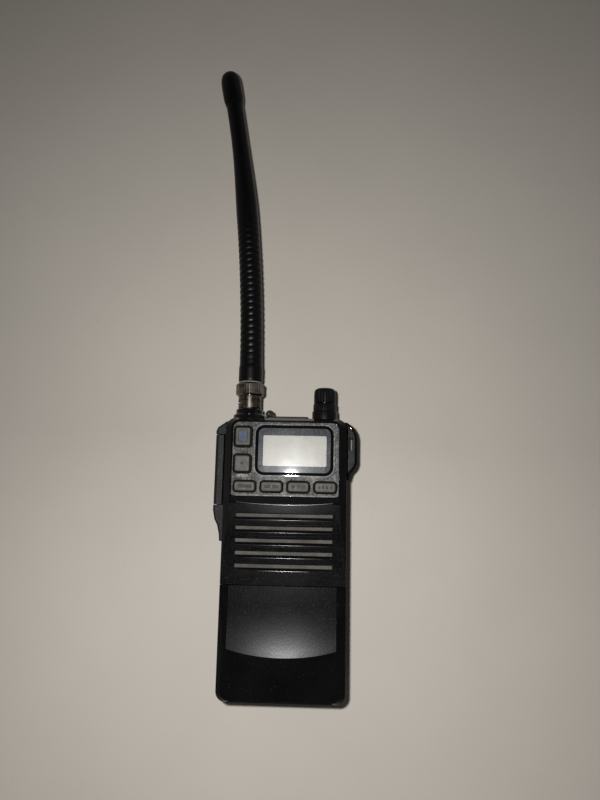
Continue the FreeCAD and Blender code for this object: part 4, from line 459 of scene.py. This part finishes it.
def carry_normals(source, mesh):
    """Gives a rounded copy the CAD surface's own normals, and its edges a smooth turn between them."""
    tree, points, triangles = source
    own = [entry.value for entry in mesh.attributes["cad_face"].data]
    corners = [None] * len(mesh.loops)
    met = {}
    for face in mesh.polygons:
        for corner in face.loop_indices:
            vertex = mesh.loops[corner].vertex_index
            spot = mesh.vertices[vertex].co.lerp(face.center, INWARD)
            found = [(away, number, place)
                     for place, normal, number, away in tree.find_nearest_range(spot, SURFACE_REACH)
                     if triangles[number][2] == own[face.index] and normal.dot(face.normal) > SAME_SURFACE]
            if found:
                _, number, place = min(found, key=lambda entry: entry[0])
                ids, parts, _ = triangles[number]
                weights = poly_3d_calc([points[point] for point in ids], place)
                blended = sum((part * weight for part, weight in zip(parts, weights)), Vector())
                corners[corner] = blended.normalized()
                met.setdefault(vertex, Vector())
                met[vertex] += corners[corner]
    for face in mesh.polygons:
        for corner in face.loop_indices:
            if corners[corner] is None:
                vertex = mesh.loops[corner].vertex_index
                corners[corner] = met.get(vertex, mesh.vertices[vertex].normal).normalized()
    mesh.normals_split_custom_set(corners)
    mesh.attributes.remove(mesh.attributes["cad_face"])


def number_cad_faces(form):
    """Layer with the number of the CAD face that each mesh face is a part of."""
    layer = form.faces.layers.int.new("cad_face")
    number = 0
    for first in form.faces:
        if first[layer]:
            continue
        number += 1
        first[layer] = number
        reached = [first]
        while reached:
            for edge in reached.pop().edges:
                for face in edge.link_faces:
                    if not face[layer]:
                        face[layer] = number
                        reached.append(face)
    return layer


def sharp_chains(form):
    """Sharp edges of a mesh, gathered into chains that meet at their ends."""
    left = {edge: None for edge in form.edges
            if edge.is_manifold and edge.calc_face_angle(0) > SHARP_ANGLE}
    chains = []
    while left:
        chain = [left.popitem()[0]]
        for edge in chain:
            for vertex in edge.verts:
                for other in vertex.link_edges:
                    if other in left:
                        del left[other]
                        chain.append(other)
        chains.append(chain)
    return chains


def softened(node, body, finishes, width, spots=()):
    """Copy of a CAD node with its sharp edges rounded off.

    The CAD faces at the first group of spots, in millimetres, take the second finish, and so on.
    """
    mesh = frame["nodes"][node].data.copy()
    mesh.name = node + "_fine"
    mesh.materials.clear()
    form = bmesh.new()
    form.from_mesh(mesh)
    layer = number_cad_faces(form)
    source = smooth_source(frame["nodes"][node].data, [face[layer] for face in form.faces])
    form.faces.ensure_lookup_table()
    tree = BVHTree.FromBMesh(form)
    chosen = {form.faces[tree.find_nearest(Vector(spot) * MM)[2]][layer]: number
              for number, group in enumerate(spots, 1) for spot in group}
    bmesh.ops.remove_doubles(form, verts=form.verts, dist=WELD)
    bmesh.ops.dissolve_limit(form, angle_limit=FLAT_ANGLE, verts=form.verts, edges=form.edges,
                             use_dissolve_boundaries=False)
    form.normal_update()
    for chain in sharp_chains(form):
        room = EDGE_ROOM * min(edge.calc_length() for edge in chain)
        bmesh.ops.bevel(form, geom=chain, offset=min(width, room), offset_type="OFFSET", segments=2,
                        profile=0.5, affect="EDGES", clamp_overlap=True, loop_slide=True)
    bmesh.ops.dissolve_degenerate(form, edges=form.edges, dist=WELD)
    form.normal_update()
    for face in form.faces:
        face.material_index = chosen.get(face[layer], 0)
    form.to_mesh(mesh)
    form.free()
    piece = show(mesh.name, mesh, body, finishes, (node,), None)
    carry_normals(source, mesh)
    return piece


CORNER_STEPS = 6
LEAST_RADIUS = 0.02


def rounded(x, y, width, height, radius, grow=0.0):
    """Rounded rectangle as points in millimetres, counter-clockwise."""
    half_x, half_y = width / 2 + grow, height / 2 + grow
    r = max(radius + grow, LEAST_RADIUS)
    points = []
    for turn, way_x, way_y in ((0, 1, 1), (90, -1, 1), (180, -1, -1), (270, 1, -1)):
        for step in range(CORNER_STEPS + 1):
            angle = math.radians(turn + 90 * step / CORNER_STEPS)
            points.append((x + way_x * (half_x - r) + r * math.cos(angle),
                           y + way_y * (half_y - r) + r * math.sin(angle)))
    return points


def lofted(name, rings, finish_of=None, closed=False):
    """Mesh through rings of equal point count, given in millimetres, with end caps or closed on itself."""
    mesh = bpy.data.meshes.new(name)
    count = len(rings[0])
    points = [tuple(MM * part for part in point) for ring in rings for point in ring]
    faces, numbers = [], []
    spans = len(rings) if closed else len(rings) - 1
    for level in range(spans):
        low, high = level * count, (level + 1) % len(rings) * count
        for spot in range(count):
            after = (spot + 1) % count
            faces.append((low + spot, low + after, high + after, high + spot))
            numbers.append(finish_of(level) if finish_of else 0)
    if not closed:
        faces.append(tuple(reversed(range(count))))
        numbers.append(finish_of(0) if finish_of else 0)
        faces.append(tuple(range((len(rings) - 1) * count, len(rings) * count)))
        numbers.append(finish_of(spans) if finish_of else 0)
    mesh.from_pydata(points, [], faces)
    mesh.polygons.foreach_set("material_index", numbers)
    mesh.update()
    return mesh


def stacked(name, levels, finish_of=None, closed=False):
    """Mesh through flat outlines, each given with its height."""
    return lofted(name, [[(x, y, z) for x, y in outline] for outline, z in levels], finish_of, closed)


def flat_ring(name, inner, outer, low, high):
    """Thin closed band between two outlines."""
    return stacked(name, [(inner, low), (outer, low), (outer, high), (inner, high)], closed=True)


def turned(name, profile, x, z, flutes=0, depth=0.0, reach=(0, 0), steps=96, closed=False):
    """Mesh turned about an axis along Y; flutes of a depth are cut between the two places of the reach."""
    rings = []
    for radius, y in profile:
        ring = []
        for step in range(steps):
            angle = -2 * math.pi * step / steps
            r = radius
            if flutes and reach[0] <= y <= reach[1]:
                r -= depth * max(0.0, math.cos(flutes * angle)) ** 3
            ring.append((x + r * math.cos(angle), y, z + r * math.sin(angle)))
        rings.append(ring)
    return lofted(name, rings, closed=closed)


# ---------------------------------------------------------------- operators

class RADIO_OT_finishes(bpy.types.Operator):
    """Give every carried-over piece the finish of its slot"""
    bl_idname = "radio.finishes"
    bl_label = "Finishes"

    def execute(self, context):
        for name, node in frame["nodes"].items():
            slot = SLOT_OF[name]
            maker = SHOWN_FINISHES.get(slot)
            material = maker() if maker else hidden_finish(slot)
            for place in node.material_slots:
                place.link = "OBJECT"
                place.material = material
        return {"FINISHED"}


# places on the CAD faces that take another finish, in millimetres
FRONT_SPOTS = ((0, 21.8, 35.9), (0, 13, 35.3), (0, 3.5, 33.9), (0, -11, 33.3))
SIDE_SPOTS = ((-32.8, 15, 23.4), (-32.3, 58.7, 23.4), (33, 47.6, 23.5), (29.6, 40.2, 24))
SCOOP_SPOTS = ((0, -18, 33.3), (0, -32, 33.6))
FOOT_SPOTS = ((4.65, -62.8, 34.18),)
BAR_SPOTS = ((-33, 40, 23.4),)
FINE_EDGE = 0.0001
SOFT_EDGE = 0.0002
BAR_EDGE = 0.0003

# the speaker front and its slots, in millimetres
WAIST_END, CREST, WAIST_HEIGHT, CREST_HEIGHT = -7.0, 23.5, 33.3, 36.0
SLOTS, SLOT_PLACE, SLOT_PITCH, SLOT_OPENING, SLOT_FLOOR = 5, 6.7, 5.775, 1.8, 32.0
ABOVE = 50.0
LIP_STEPS = 20
LIP_REACH = 22.4
LIP_STATIONS = [LIP_REACH * (2 * step / LIP_STEPS - 1) for step in range(LIP_STEPS + 1)]
LIP_WIDTH = 0.95
LIP_ROUND = 0.25
LIP_START = 0.3
LIP_SUNK = 0.3
LIP_POINTS = 12
LIP_ARC = range(2, 7)
CREST_ROUND = 0.4
CREST_BACK = 0.45
CREST_BOW = 1.3
CREST_BOW_REACH = 24.0
CREST_RISE = 0.03


def rise_height(y):
    """Height of the speaker front on the centre line, in millimetres: two equal arcs up to the crest."""
    run, lift = CREST - WAIST_END, CREST_HEIGHT - WAIST_HEIGHT
    radius = (run * run + lift * lift) / (4 * lift)
    if y < (CREST + WAIST_END) / 2:
        return WAIST_HEIGHT + radius - math.sqrt(radius ** 2 - max(0.0, y - WAIST_END) ** 2)
    return CREST_HEIGHT - radius + math.sqrt(radius ** 2 - max(0.0, CREST - y) ** 2)


def slot_lip(tree, x, low):
    """Section of the rounded lip that closes the upper part of a slot's bevel."""
    def height(y):
        return tree.ray_cast(Vector((x, y, ABOVE)) * MM, Vector((0, 0, -1)))[0].z / MM
    end = low - LIP_START
    while height(end) > SLOT_FLOOR + low - end - 0.03:
        end -= 0.05
    drop = rise_height(end) - height(end)

    def top(y):
        return rise_height(y) - drop
    front = low - LIP_WIDTH
    turns = [math.radians(65 - 13 * step) for step in range(6)]
    centre_y, centre_z = front - LIP_ROUND, top(front - LIP_ROUND) - LIP_ROUND
    section = [(low - 0.02, SLOT_FLOOR - LIP_SUNK), (low - 0.02, SLOT_FLOOR + 0.02)]
    section += [(centre_y + LIP_ROUND * math.sin(turn), centre_z + LIP_ROUND * math.cos(turn))
                for turn in turns]
    back = min(end, centre_y - 0.1)
    section += [(centre_y + (back - centre_y) * part, top(centre_y + (back - centre_y) * part) + 0.004)
                for part in (0.35, 0.7, 1.0)]
    section += [(back, top(back) - 0.4)]
    return [(x, y, z) for y, z in section]


def crest_lip(x):
    """Section of the fine bead along the bowed crest."""
    y = CREST - CREST_BACK + CREST_BOW * (x / CREST_BOW_REACH) ** 2
    arc = [math.radians(25 - 5 * step) for step in range(11)]
    section = [(y + CREST_ROUND * math.sin(turn),
                CREST_HEIGHT + CREST_ROUND * (math.cos(turn) - 1) + CREST_RISE) for turn in arc]
    section += [(section[-1][0], CREST_HEIGHT - 0.1), (section[0][0], CREST_HEIGHT - 0.1)]
    return [(x, across, z) for across, z in section]


class RADIO_OT_cases(bpy.types.Operator):
    """Build the front and rear case with rounded edges, the lips of slots and crest, and the collar"""
    bl_idname = "radio.cases"
    bl_label = "Cases"

    def execute(self, context):
        width = context.scene.case_looks.edge
        softened("front_case", "radio", [case_plastic(), front_plastic()], width,
                 (FRONT_SPOTS,))
        softened("rear_case", "radio", [case_plastic(), side_plastic()], width,
                 (SIDE_SPOTS,))
        front = frame["nodes"]["front_case"].data
        tree = BVHTree.FromPolygons([vertex.co for vertex in front.vertices],
                                    [tuple(face.vertices) for face in front.polygons])
        for number in range(SLOTS):
            low = SLOT_PLACE + SLOT_PITCH * (number - (SLOTS - 1) / 2) - SLOT_OPENING / 2
            mesh = lofted(f"slot_lip_{number + 1}", [slot_lip(tree, x, low) for x in LIP_STATIONS])
            for face in mesh.polygons:
                face.material_index = int(face.index % LIP_POINTS in LIP_ARC)
            show(mesh.name, mesh, "radio", [front_plastic(), lip_plastic()], sharp=60.0)
        mesh = lofted("crest_lip", [crest_lip(x) for x in LIP_STATIONS])
        show(mesh.name, mesh, "radio", [lip_plastic()], sharp=60.0)
        softened("jack_collar", "radio", [case_plastic()], FINE_EDGE)
        return {"FINISHED"}


class RADIO_OT_battery(bpy.types.Operator):
    """Build the battery case with its textured scoop, its lid and the release button"""
    bl_idname = "radio.battery"
    bl_label = "Battery"

    def execute(self, context):
        width = context.scene.case_looks.edge
        softened("battery_case", "battery",
                 [battery_plastic(), textured_plastic(), dull_plastic()], width, (SCOOP_SPOTS, FOOT_SPOTS))
        softened("battery_cover", "battery_lid", [battery_plastic()], width)
        softened("release_button", "release", [battery_plastic()], SOFT_EDGE)
        return {"FINISHED"}


# centre, width, height and corner radius, in millimetres
WINDOW_SPOT = (4.1, 48.55)
WINDOW_LINE = (*WINDOW_SPOT, 37.0, 23.7, 4.1)
WINDOW_BORDER = (*WINDOW_SPOT, 36.6, 23.3, 3.9)
# the line at the panel's foot is a painted highlight along the panel's lower edge
FOOT_HIGHLIGHT = (0, 27.3, 46.8, 0.1, 0.04)
LEGEND = (-20.3, 36.3, 5.2, 1.5, 0.3)
PANEL_TOP = 33.6
BORDER_WIDTH = 1.2
BORDER_LOW, BORDER_HIGH = 33.98, 34.05


class RADIO_OT_panel(bpy.types.Operator):
    """Build the key panel with the pale printed line round the window, a pale painted highlight line at its
    foot, and a plain bar
    """
    bl_idname = "radio.panel"
    bl_label = "Key panel"

    def execute(self, context):
        panel = context.scene.panel_looks
        line = panel.line_width / MM
        softened("key_panel", "radio", [panel_paint()], FINE_EDGE)
        for name, shape, inner, outer in (("window_line", WINDOW_LINE, 0.1, 0.1 + line),
                                          ("foot_highlight_line", FOOT_HIGHLIGHT, 0.0, 0.5 * line)):
            outline = rounded(*shape)
            centre = Vector(shape[:2])
            mesh = flat_ring(name, grown(outline, centre, inner), grown(outline, centre, outer),
                             PANEL_TOP - 0.02, PANEL_TOP + 0.03)
            show(name, mesh, "radio", [pale_print_and_highlight()])
        outline = rounded(*LEGEND)
        legend = stacked("panel_legend", [(outline, PANEL_TOP - 0.01), (outline, PANEL_TOP + 0.02)])
        show("panel_legend", legend, "radio", [pale_print_and_highlight()])
        return {"FINISHED"}


def grown(outline, centre, by):
    """Outline moved outwards by a distance, each point square to the line between its neighbours."""
    count = len(outline)
    moved = []
    for number, (x, y) in enumerate(outline):
        before, after = outline[number - 1], outline[(number + 1) % count]
        edge = Vector((after[0] - before[0], after[1] - before[1]))
        way = Vector((edge.y, -edge.x)).normalized()
        if way.dot(Vector((x, y)) - centre) < 0:
            way = -way
        moved.append((x + by * way.x, y + by * way.y))
    return moved


# centre, width, height and slope of the skirt, in millimetres
KEYS = {
    "upper_key": (-20.35, 54.75, 9.1, 10.5, 1.1),
    "lower_key": (-20.35, 42.0, 9.1, 9.5, 1.1),
    "first_row_key": (-18.9, 31.4, 11.3, 6.0, 0.9),
    "second_row_key": (-6.3, 31.4, 11.3, 6.0, 0.9),
    "third_row_key": (6.3, 31.4, 11.3, 6.0, 0.9),
    "fourth_row_key": (18.9, 31.4, 11.3, 6.0, 0.9),
}
KEY_GAP = 0.25
KEY_TOP = 35.0
KEY_FOOT = 32.7
KEY_RADIUS = 2.0
SQUARE_FRAME = (-20.35, 54.9, 4.5, 5.9, 0.7)
SQUARE = (-20.35, 54.9, 3.9, 5.3, 0.4)
DOT = (-20.35, 42.2, 1.5, 1.5, 0.7)
BARS_Y = 31.45
BARS_WIDTH, BAR_GAP, BAR_HEIGHT, BAR_RADIUS = 6.6, 0.8, 1.6, 0.4


class RADIO_OT_keys(bpy.types.Operator):
    """Build the six keys with their pale faces and generic marks"""
    bl_idname = "radio.keys"
    bl_label = "Keys"

    def execute(self, context):
        for name, (x, y, width, height, slope) in KEYS.items():
            levels = [(0.0, KEY_FOOT), (0.0, KEY_TOP - slope - 0.05), (0.06, KEY_TOP - slope + 0.08),
                      (slope - 0.16, KEY_TOP - 0.16), (slope, KEY_TOP - 0.05), (slope + 0.2, KEY_TOP),
                      (slope + 0.9, KEY_TOP - 0.02)]
            rings = [(rounded(x, y, width, height, KEY_RADIUS, -KEY_GAP - inset), z) for inset, z in levels]
            mesh = stacked(name + "_fine", rings, lambda level: 1 if level >= 3 else 0)
            show(name + "_fine", mesh, name, [key_skirt(), key_face()], (name,))
        self.mark("upper_key_frame", "upper_key", [SQUARE_FRAME], key_mark(), 0.01)
        self.mark("upper_key_square", "upper_key", [SQUARE], key_blue(), 0.025)
        self.mark("lower_key_dot", "lower_key", [DOT], key_mark(), 0.02)
        for gaps, name in enumerate(list(KEYS)[2:]):
            wide = (BARS_WIDTH - BAR_GAP * gaps) / (gaps + 1)
            spots = [KEYS[name][0] + (wide + BAR_GAP) * (step - gaps / 2) for step in range(gaps + 1)]
            bars = [(spot, BARS_Y, wide, BAR_HEIGHT, BAR_RADIUS) for spot in spots]
            self.mark(name + "_bars", name, bars, key_mark(), 0.02)
        return {"FINISHED"}

    @staticmethod
    def mark(name, body, shapes, material, height):
        """Thin printed shapes on a key's top, as one piece."""
        form = bmesh.new()
        for shape in shapes:
            outline = rounded(*shape)
            part = stacked(name, [(outline, KEY_TOP - 0.05), (outline, KEY_TOP + height)])
            form.from_mesh(part)
            bpy.data.meshes.remove(part)
        mesh = bpy.data.meshes.new(name)
        form.to_mesh(mesh)
        form.free()
        show(name, mesh, body, [material])


class RADIO_OT_display(bpy.types.Operator):
    """Add the dark border under the edge of the display window"""
    bl_idname = "radio.display"
    bl_label = "Display"

    def execute(self, context):
        outline = rounded(*WINDOW_BORDER)
        inner = grown(outline, Vector(WINDOW_SPOT), -BORDER_WIDTH)
        mesh = flat_ring("window_border", inner, outline, BORDER_LOW, BORDER_HIGH)
        show("window_border", mesh, "radio", [dull_plastic()])
        return {"FINISHED"}


# the antenna, in millimetres
SLEEVE_FOOT = Vector((-19.6, 84.0, 17.5))
BEND = 870.0
SLEEVE_LENGTH = 157.0
SLEEVE_STEPS = 64
SLEEVE_SHARP = 50.0
RIB_STEP, PLAIN_STEP = 0.27, 2.0
FOOT_LENGTH, FOOT_RADIUS, FOOT_ROUND = 9.0, 6.1, 0.3
FOOT_SLOPE, FOOT_SLOPE_LENGTH = 0.35, 2.5
SLEEVE_RADIUS = 5.8
TAPER_START, TAPER_LENGTH, TAPER = 88.0, 50.0, 1.3
RIB_START, RIB_RISE, RIB_FALL = 8.9, 9.0, 20.0
SLEEVE_END = ((4.6, 83.4), (5.7, 83.4), (5.85, 83.55), (5.85, 83.85), (4.6, 83.85))
CAP_PROFILE = ((4.6, 0.0), (4.75, 0.4), (4.95, 1.4), (5.2, 2.6), (5.4, 3.9), (5.48, 5.5), (5.5, 8.0),
               (5.5, 11.0), (5.47, 13.4), (5.35, 15.0), (5.05, 16.6), (4.5, 18.0), (3.7, 19.0),
               (2.7, 19.6), (1.5, 19.9), (0.4, 19.98))


def along_bend(distance):
    """Point and sideways direction on the antenna's bent centre line, in millimetres."""
    turn = distance / BEND
    point = SLEEVE_FOOT + Vector((BEND * (math.cos(turn) - 1), BEND * math.sin(turn), 0))
    return point, Vector((math.cos(turn), math.sin(turn), 0))


def ring_across(centre, side, radius_at):
    """Points round a spot of the antenna, with a radius for each angle."""
    angles = [-2 * math.pi * step / SLEEVE_STEPS for step in range(SLEEVE_STEPS)]
    return [centre + radius_at(angle) * math.cos(angle) * side
            + Vector((0, 0, radius_at(angle) * math.sin(angle))) for angle in angles]


class RADIO_OT_antenna(bpy.types.Operator):
    """Build the ribbed rubber sleeve, the cap and the pale ring at the sleeve's foot, whose pale grey partly
    stands for a painted rim highlight
    """
    bl_idname = "radio.antenna"
    bl_label = "Antenna"

    def execute(self, context):
        looks = context.scene.antenna_looks
        pitch, depth, fade = looks.rib_pitch / MM, looks.rib_depth / MM, looks.rib_end / MM
        distances = [0.0, 0.05, 0.3, 0.8]
        while distances[-1] < SLEEVE_LENGTH - 0.2:
            distances.append(distances[-1] + (RIB_STEP if distances[-1] < fade + 4 else PLAIN_STEP))
        distances[-1] = SLEEVE_LENGTH
        rings = [ring_across(*along_bend(distance),
                             lambda angle: self.radius(distance, angle, pitch, depth, fade))
                 for distance in distances]
        mesh = lofted("antenna_sleeve_fine", rings)
        show("antenna_sleeve_fine", mesh, "antenna", [antenna_rubber()],
             ("antenna_sleeve",), SLEEVE_SHARP)
        self.cap()
        collar = turned("sleeve_end", SLEEVE_END, SLEEVE_FOOT.x, SLEEVE_FOOT.z, closed=True)
        show("sleeve_end", collar, "antenna", [sleeve_ring_and_highlight()])
        return {"FINISHED"}

    @staticmethod
    def radius(distance, angle, pitch, depth, fade):
        """Radius of the sleeve: a smooth foot, ribs that wind round and fade out, and a taper."""
        if distance < FOOT_LENGTH:
            slope = max(0.0, (distance - FOOT_LENGTH + FOOT_SLOPE_LENGTH) / FOOT_SLOPE_LENGTH)
            return FOOT_RADIUS - FOOT_SLOPE * slope ** 2 - FOOT_ROUND * max(0.0, 1 - distance / 0.8) ** 2
        done = max(0.0, min(1.0, (distance - TAPER_START) / TAPER_LENGTH))
        plain = SLEEVE_RADIUS - TAPER * done * done * (3 - 2 * done)
        phase = (distance - FOOT_LENGTH) / pitch + angle / (2 * math.pi)
        arch = 1 - (2 * (phase % 1.0) - 1) ** 2
        strength = (min(1.0, (distance - RIB_START) / RIB_RISE)
                    * max(0.0, min(1.0, (fade - distance) / RIB_FALL)))
        return plain - depth * strength * (1 - math.sqrt(max(arch, 0.0)))

    @staticmethod
    def cap():
        """Bulbous cap, straight on the end of the sleeve."""
        start, side = along_bend(SLEEVE_LENGTH)
        ahead = Vector((-side.y, side.x, 0))
        mesh = lofted("antenna_tip_fine", [ring_across(start + by * ahead, side, lambda _: radius)
                                           for radius, by in CAP_PROFILE])
        show("antenna_tip_fine", mesh, "antenna", [antenna_rubber()], ("antenna_tip",),
             SLEEVE_SHARP)


class RADIO_OT_coupling(bpy.types.Operator):
    """Finish the knurled ring and the connector in worn nickel"""
    bl_idname = "radio.coupling"
    bl_label = "Antenna coupling"

    def execute(self, context):
        for name, stained in (("bayonet_ring", 0.4), ("antenna_jack", 0.6), ("plug_body", 0.3)):
            node = frame["nodes"][name]
            for place in node.material_slots:
                place.material = nickel(name + "_nickel", stained)
        return {"FINISHED"}


# the two knobs: their axis, and radius and place along it at each step of the outline, in millimetres
KNOB_AXIS = (18.5, 17.5)
KNOB_STEPS = 144
RING_PROFILE = ((3.1, 66.6), (5.2, 66.6), (5.3, 64.35), (6.1, 64.3), (6.3, 64.5), (6.3, 69.1), (6.2, 69.35),
                (5.95, 69.5), (5.8, 69.6), (5.8, 70.0), (5.8, 72.7), (5.72, 73.0), (5.5, 73.28), (3.1, 73.3))
RING_REACH = (69.95, 73.1)
KNOB_PROFILE = ((2.0, 75.0), (4.9, 73.65), (5.3, 73.6), (5.5, 73.8), (5.5, 74.3), (5.5, 78.4), (5.42, 79.4),
                (5.2, 80.2), (4.8, 80.75), (4.2, 81.1), (3.4, 81.2), (2.6, 81.1), (0.6, 81.05))
KNOB_REACH = (74.2, 79.5)


class RADIO_OT_knobs(bpy.types.Operator):
    """Build the fluted squelch ring and the volume knob on it"""
    bl_idname = "radio.knobs"
    bl_label = "Knobs"

    def execute(self, context):
        looks = context.scene.knob_looks
        depth = looks.depth / MM
        ring = turned("squelch_ring_fine", RING_PROFILE, *KNOB_AXIS, looks.ring_flutes, depth, RING_REACH,
                      KNOB_STEPS, closed=True)
        show("squelch_ring_fine", ring, "squelch", [knob_plastic()], ("squelch_ring",))
        knob = turned("volume_knob_fine", KNOB_PROFILE, *KNOB_AXIS, looks.knob_flutes, depth, KNOB_REACH,
                      KNOB_STEPS)
        show("volume_knob_fine", knob, "volume", [knob_plastic()], ("volume_knob",))
        return {"FINISHED"}


class RADIO_OT_talk_bar(bpy.types.Operator):
    """Build the talk bar with rounded edges"""
    bl_idname = "radio.talk_bar"
    bl_label = "Talk bar"

    def execute(self, context):
        softened("ptt_bar", "talk_bar", [case_plastic(), side_plastic()], BAR_EDGE,
                 (BAR_SPOTS,))
        return {"FINISHED"}


class RADIO_OT_cover(bpy.types.Operator):
    """Build the rubber cover of the sockets with its loop"""
    bl_idname = "radio.cover"
    bl_label = "Socket cover"

    def execute(self, context):
        softened("jack_cover", "socket_cover", [black_rubber()], SOFT_EDGE)
        return {"FINISHED"}


# places in metres
LAMP_SPOT = (-0.008, 0.0425, 0.306)
LAMP_TARGET = (0.0, 0.05, 0.0)
SLANTED_TARGET = (-0.048, -1.5, 0.0)
CAMERA_SPOT = (0.01355, 0.02843, 0.30665)
CAMERA_TURN = [math.radians(part) for part in (9.24661173, 1.33300291, 1.16083387)]
CAMERA_START = 0.01
SENSOR_WIDTH = 36.0
SKY_LOW, SKY_HIGH = 0.45, 0.75
FLOOR_REACH, FLOOR_BOTTOM, FLOOR_TOP = 900, -4.0, -0.02


class RADIO_OT_stage(bpy.types.Operator):
    """Set the floor, the lights and the camera"""
    bl_idname = "radio.stage"
    bl_label = "Stage"

    def execute(self, context):
        looks = context.scene.stage_looks
        self.floor(looks)
        self.light("lamp", looks.lamp_power, looks.lamp_size, LAMP_TARGET, math.pi)
        self.light("slanted_lamp", looks.low_power, looks.lamp_size, SLANTED_TARGET, looks.low_spread)
        world = bpy.data.worlds.new("studio")
        world.use_nodes = True
        tree = world.node_tree
        way = add(tree, "ShaderNodeSeparateXYZ")
        tree.links.new(add(tree, "ShaderNodeTexCoord").outputs["Generated"], way.inputs[0])
        tree.links.new(spread(tree, way.outputs["Z"], looks.sky, looks.zenith, SKY_LOW, SKY_HIGH),
                       tree.nodes["Background"].inputs["Strength"])
        tree.nodes["Background"].inputs["Color"].default_value = (1.0, 1.0, 1.0, 1.0)
        context.scene.world = world
        context.scene.view_settings.view_transform = "Standard"
        camera = bpy.data.cameras.new("camera")
        camera.lens = looks.lens
        camera.sensor_width = SENSOR_WIDTH
        camera.clip_start = CAMERA_START
        eye = bpy.data.objects.new("camera", camera)
        eye.location = CAMERA_SPOT
        eye.rotation_euler = Euler(CAMERA_TURN)
        context.scene.collection.objects.link(eye)
        context.scene.camera = eye
        return {"FINISHED"}

    @staticmethod
    def light(name, power, size, target, opening):
        """Round light at the lamp's place, turned to a target."""
        lamp = bpy.data.lights.new(name, "AREA")
        lamp.shape = "DISK"
        lamp.size = size
        lamp.energy = power
        lamp.spread = opening
        holder = bpy.data.objects.new(name, lamp)
        holder.location = LAMP_SPOT
        holder.rotation_euler = (Vector(target) - Vector(LAMP_SPOT)).to_track_quat("-Z", "Y").to_euler()
        bpy.context.scene.collection.objects.link(holder)

    @staticmethod
    def floor(looks):
        """Plain pale slab just under the object."""
        outline = [(x * FLOOR_REACH, y * FLOOR_REACH) for x, y in ((-1, -1), (1, -1), (1, 1), (-1, 1))]
        mesh = stacked("floor", [(outline, FLOOR_BOTTOM), (outline, FLOOR_TOP)])
        piece = bpy.data.objects.new("floor", mesh)
        bpy.context.scene.collection.objects.link(piece)
        mesh.materials.append(finish("floor", looks.floor, scaled(looks.floor, 0.94), patch_size=0.09,
                                     rough=(0.55, 0.7), grain=(0.002, 0.00002),
                                     specks=(0.0016, 0.7, (0.33, 0.29, 0.25), 0.25)))


class RADIO_PT_panel(bpy.types.Panel):
    """Every step of the radio, in order"""
    bl_idname = "RADIO_PT_panel"
    bl_label = "Marine radio"
    bl_space_type = "VIEW_3D"
    bl_region_type = "UI"
    bl_category = "Radio"

    def draw(self, context):
        for step in STEPS:
            self.layout.operator(step.bl_idname)


STEPS = (RADIO_OT_stage, RADIO_OT_finishes, RADIO_OT_cases, RADIO_OT_panel, RADIO_OT_keys, RADIO_OT_display,
         RADIO_OT_coupling, RADIO_OT_antenna, RADIO_OT_knobs, RADIO_OT_talk_bar, RADIO_OT_cover,
         RADIO_OT_battery)
LOOKS = {"case_looks": CaseLooks, "panel_looks": PanelLooks, "metal_looks": MetalLooks,
         "antenna_looks": AntennaLooks, "knob_looks": KnobLooks, "stage_looks": StageLooks}
CLASSES = (*LOOKS.values(), *STEPS, RADIO_PT_panel)


def register():
    for entry in CLASSES:
        bpy.utils.register_class(entry)
    for name, group in LOOKS.items():
        setattr(bpy.types.Scene, name, PointerProperty(type=group))


def unregister():
    for name in LOOKS:
        delattr(bpy.types.Scene, name)
    for entry in reversed(CLASSES):
        bpy.utils.unregister_class(entry)


def main():
    register()
    for step in STEPS:
        group, action = step.bl_idname.split(".")
        getattr(getattr(bpy.ops, group), action)()


if __name__ == "__main__":
    main()
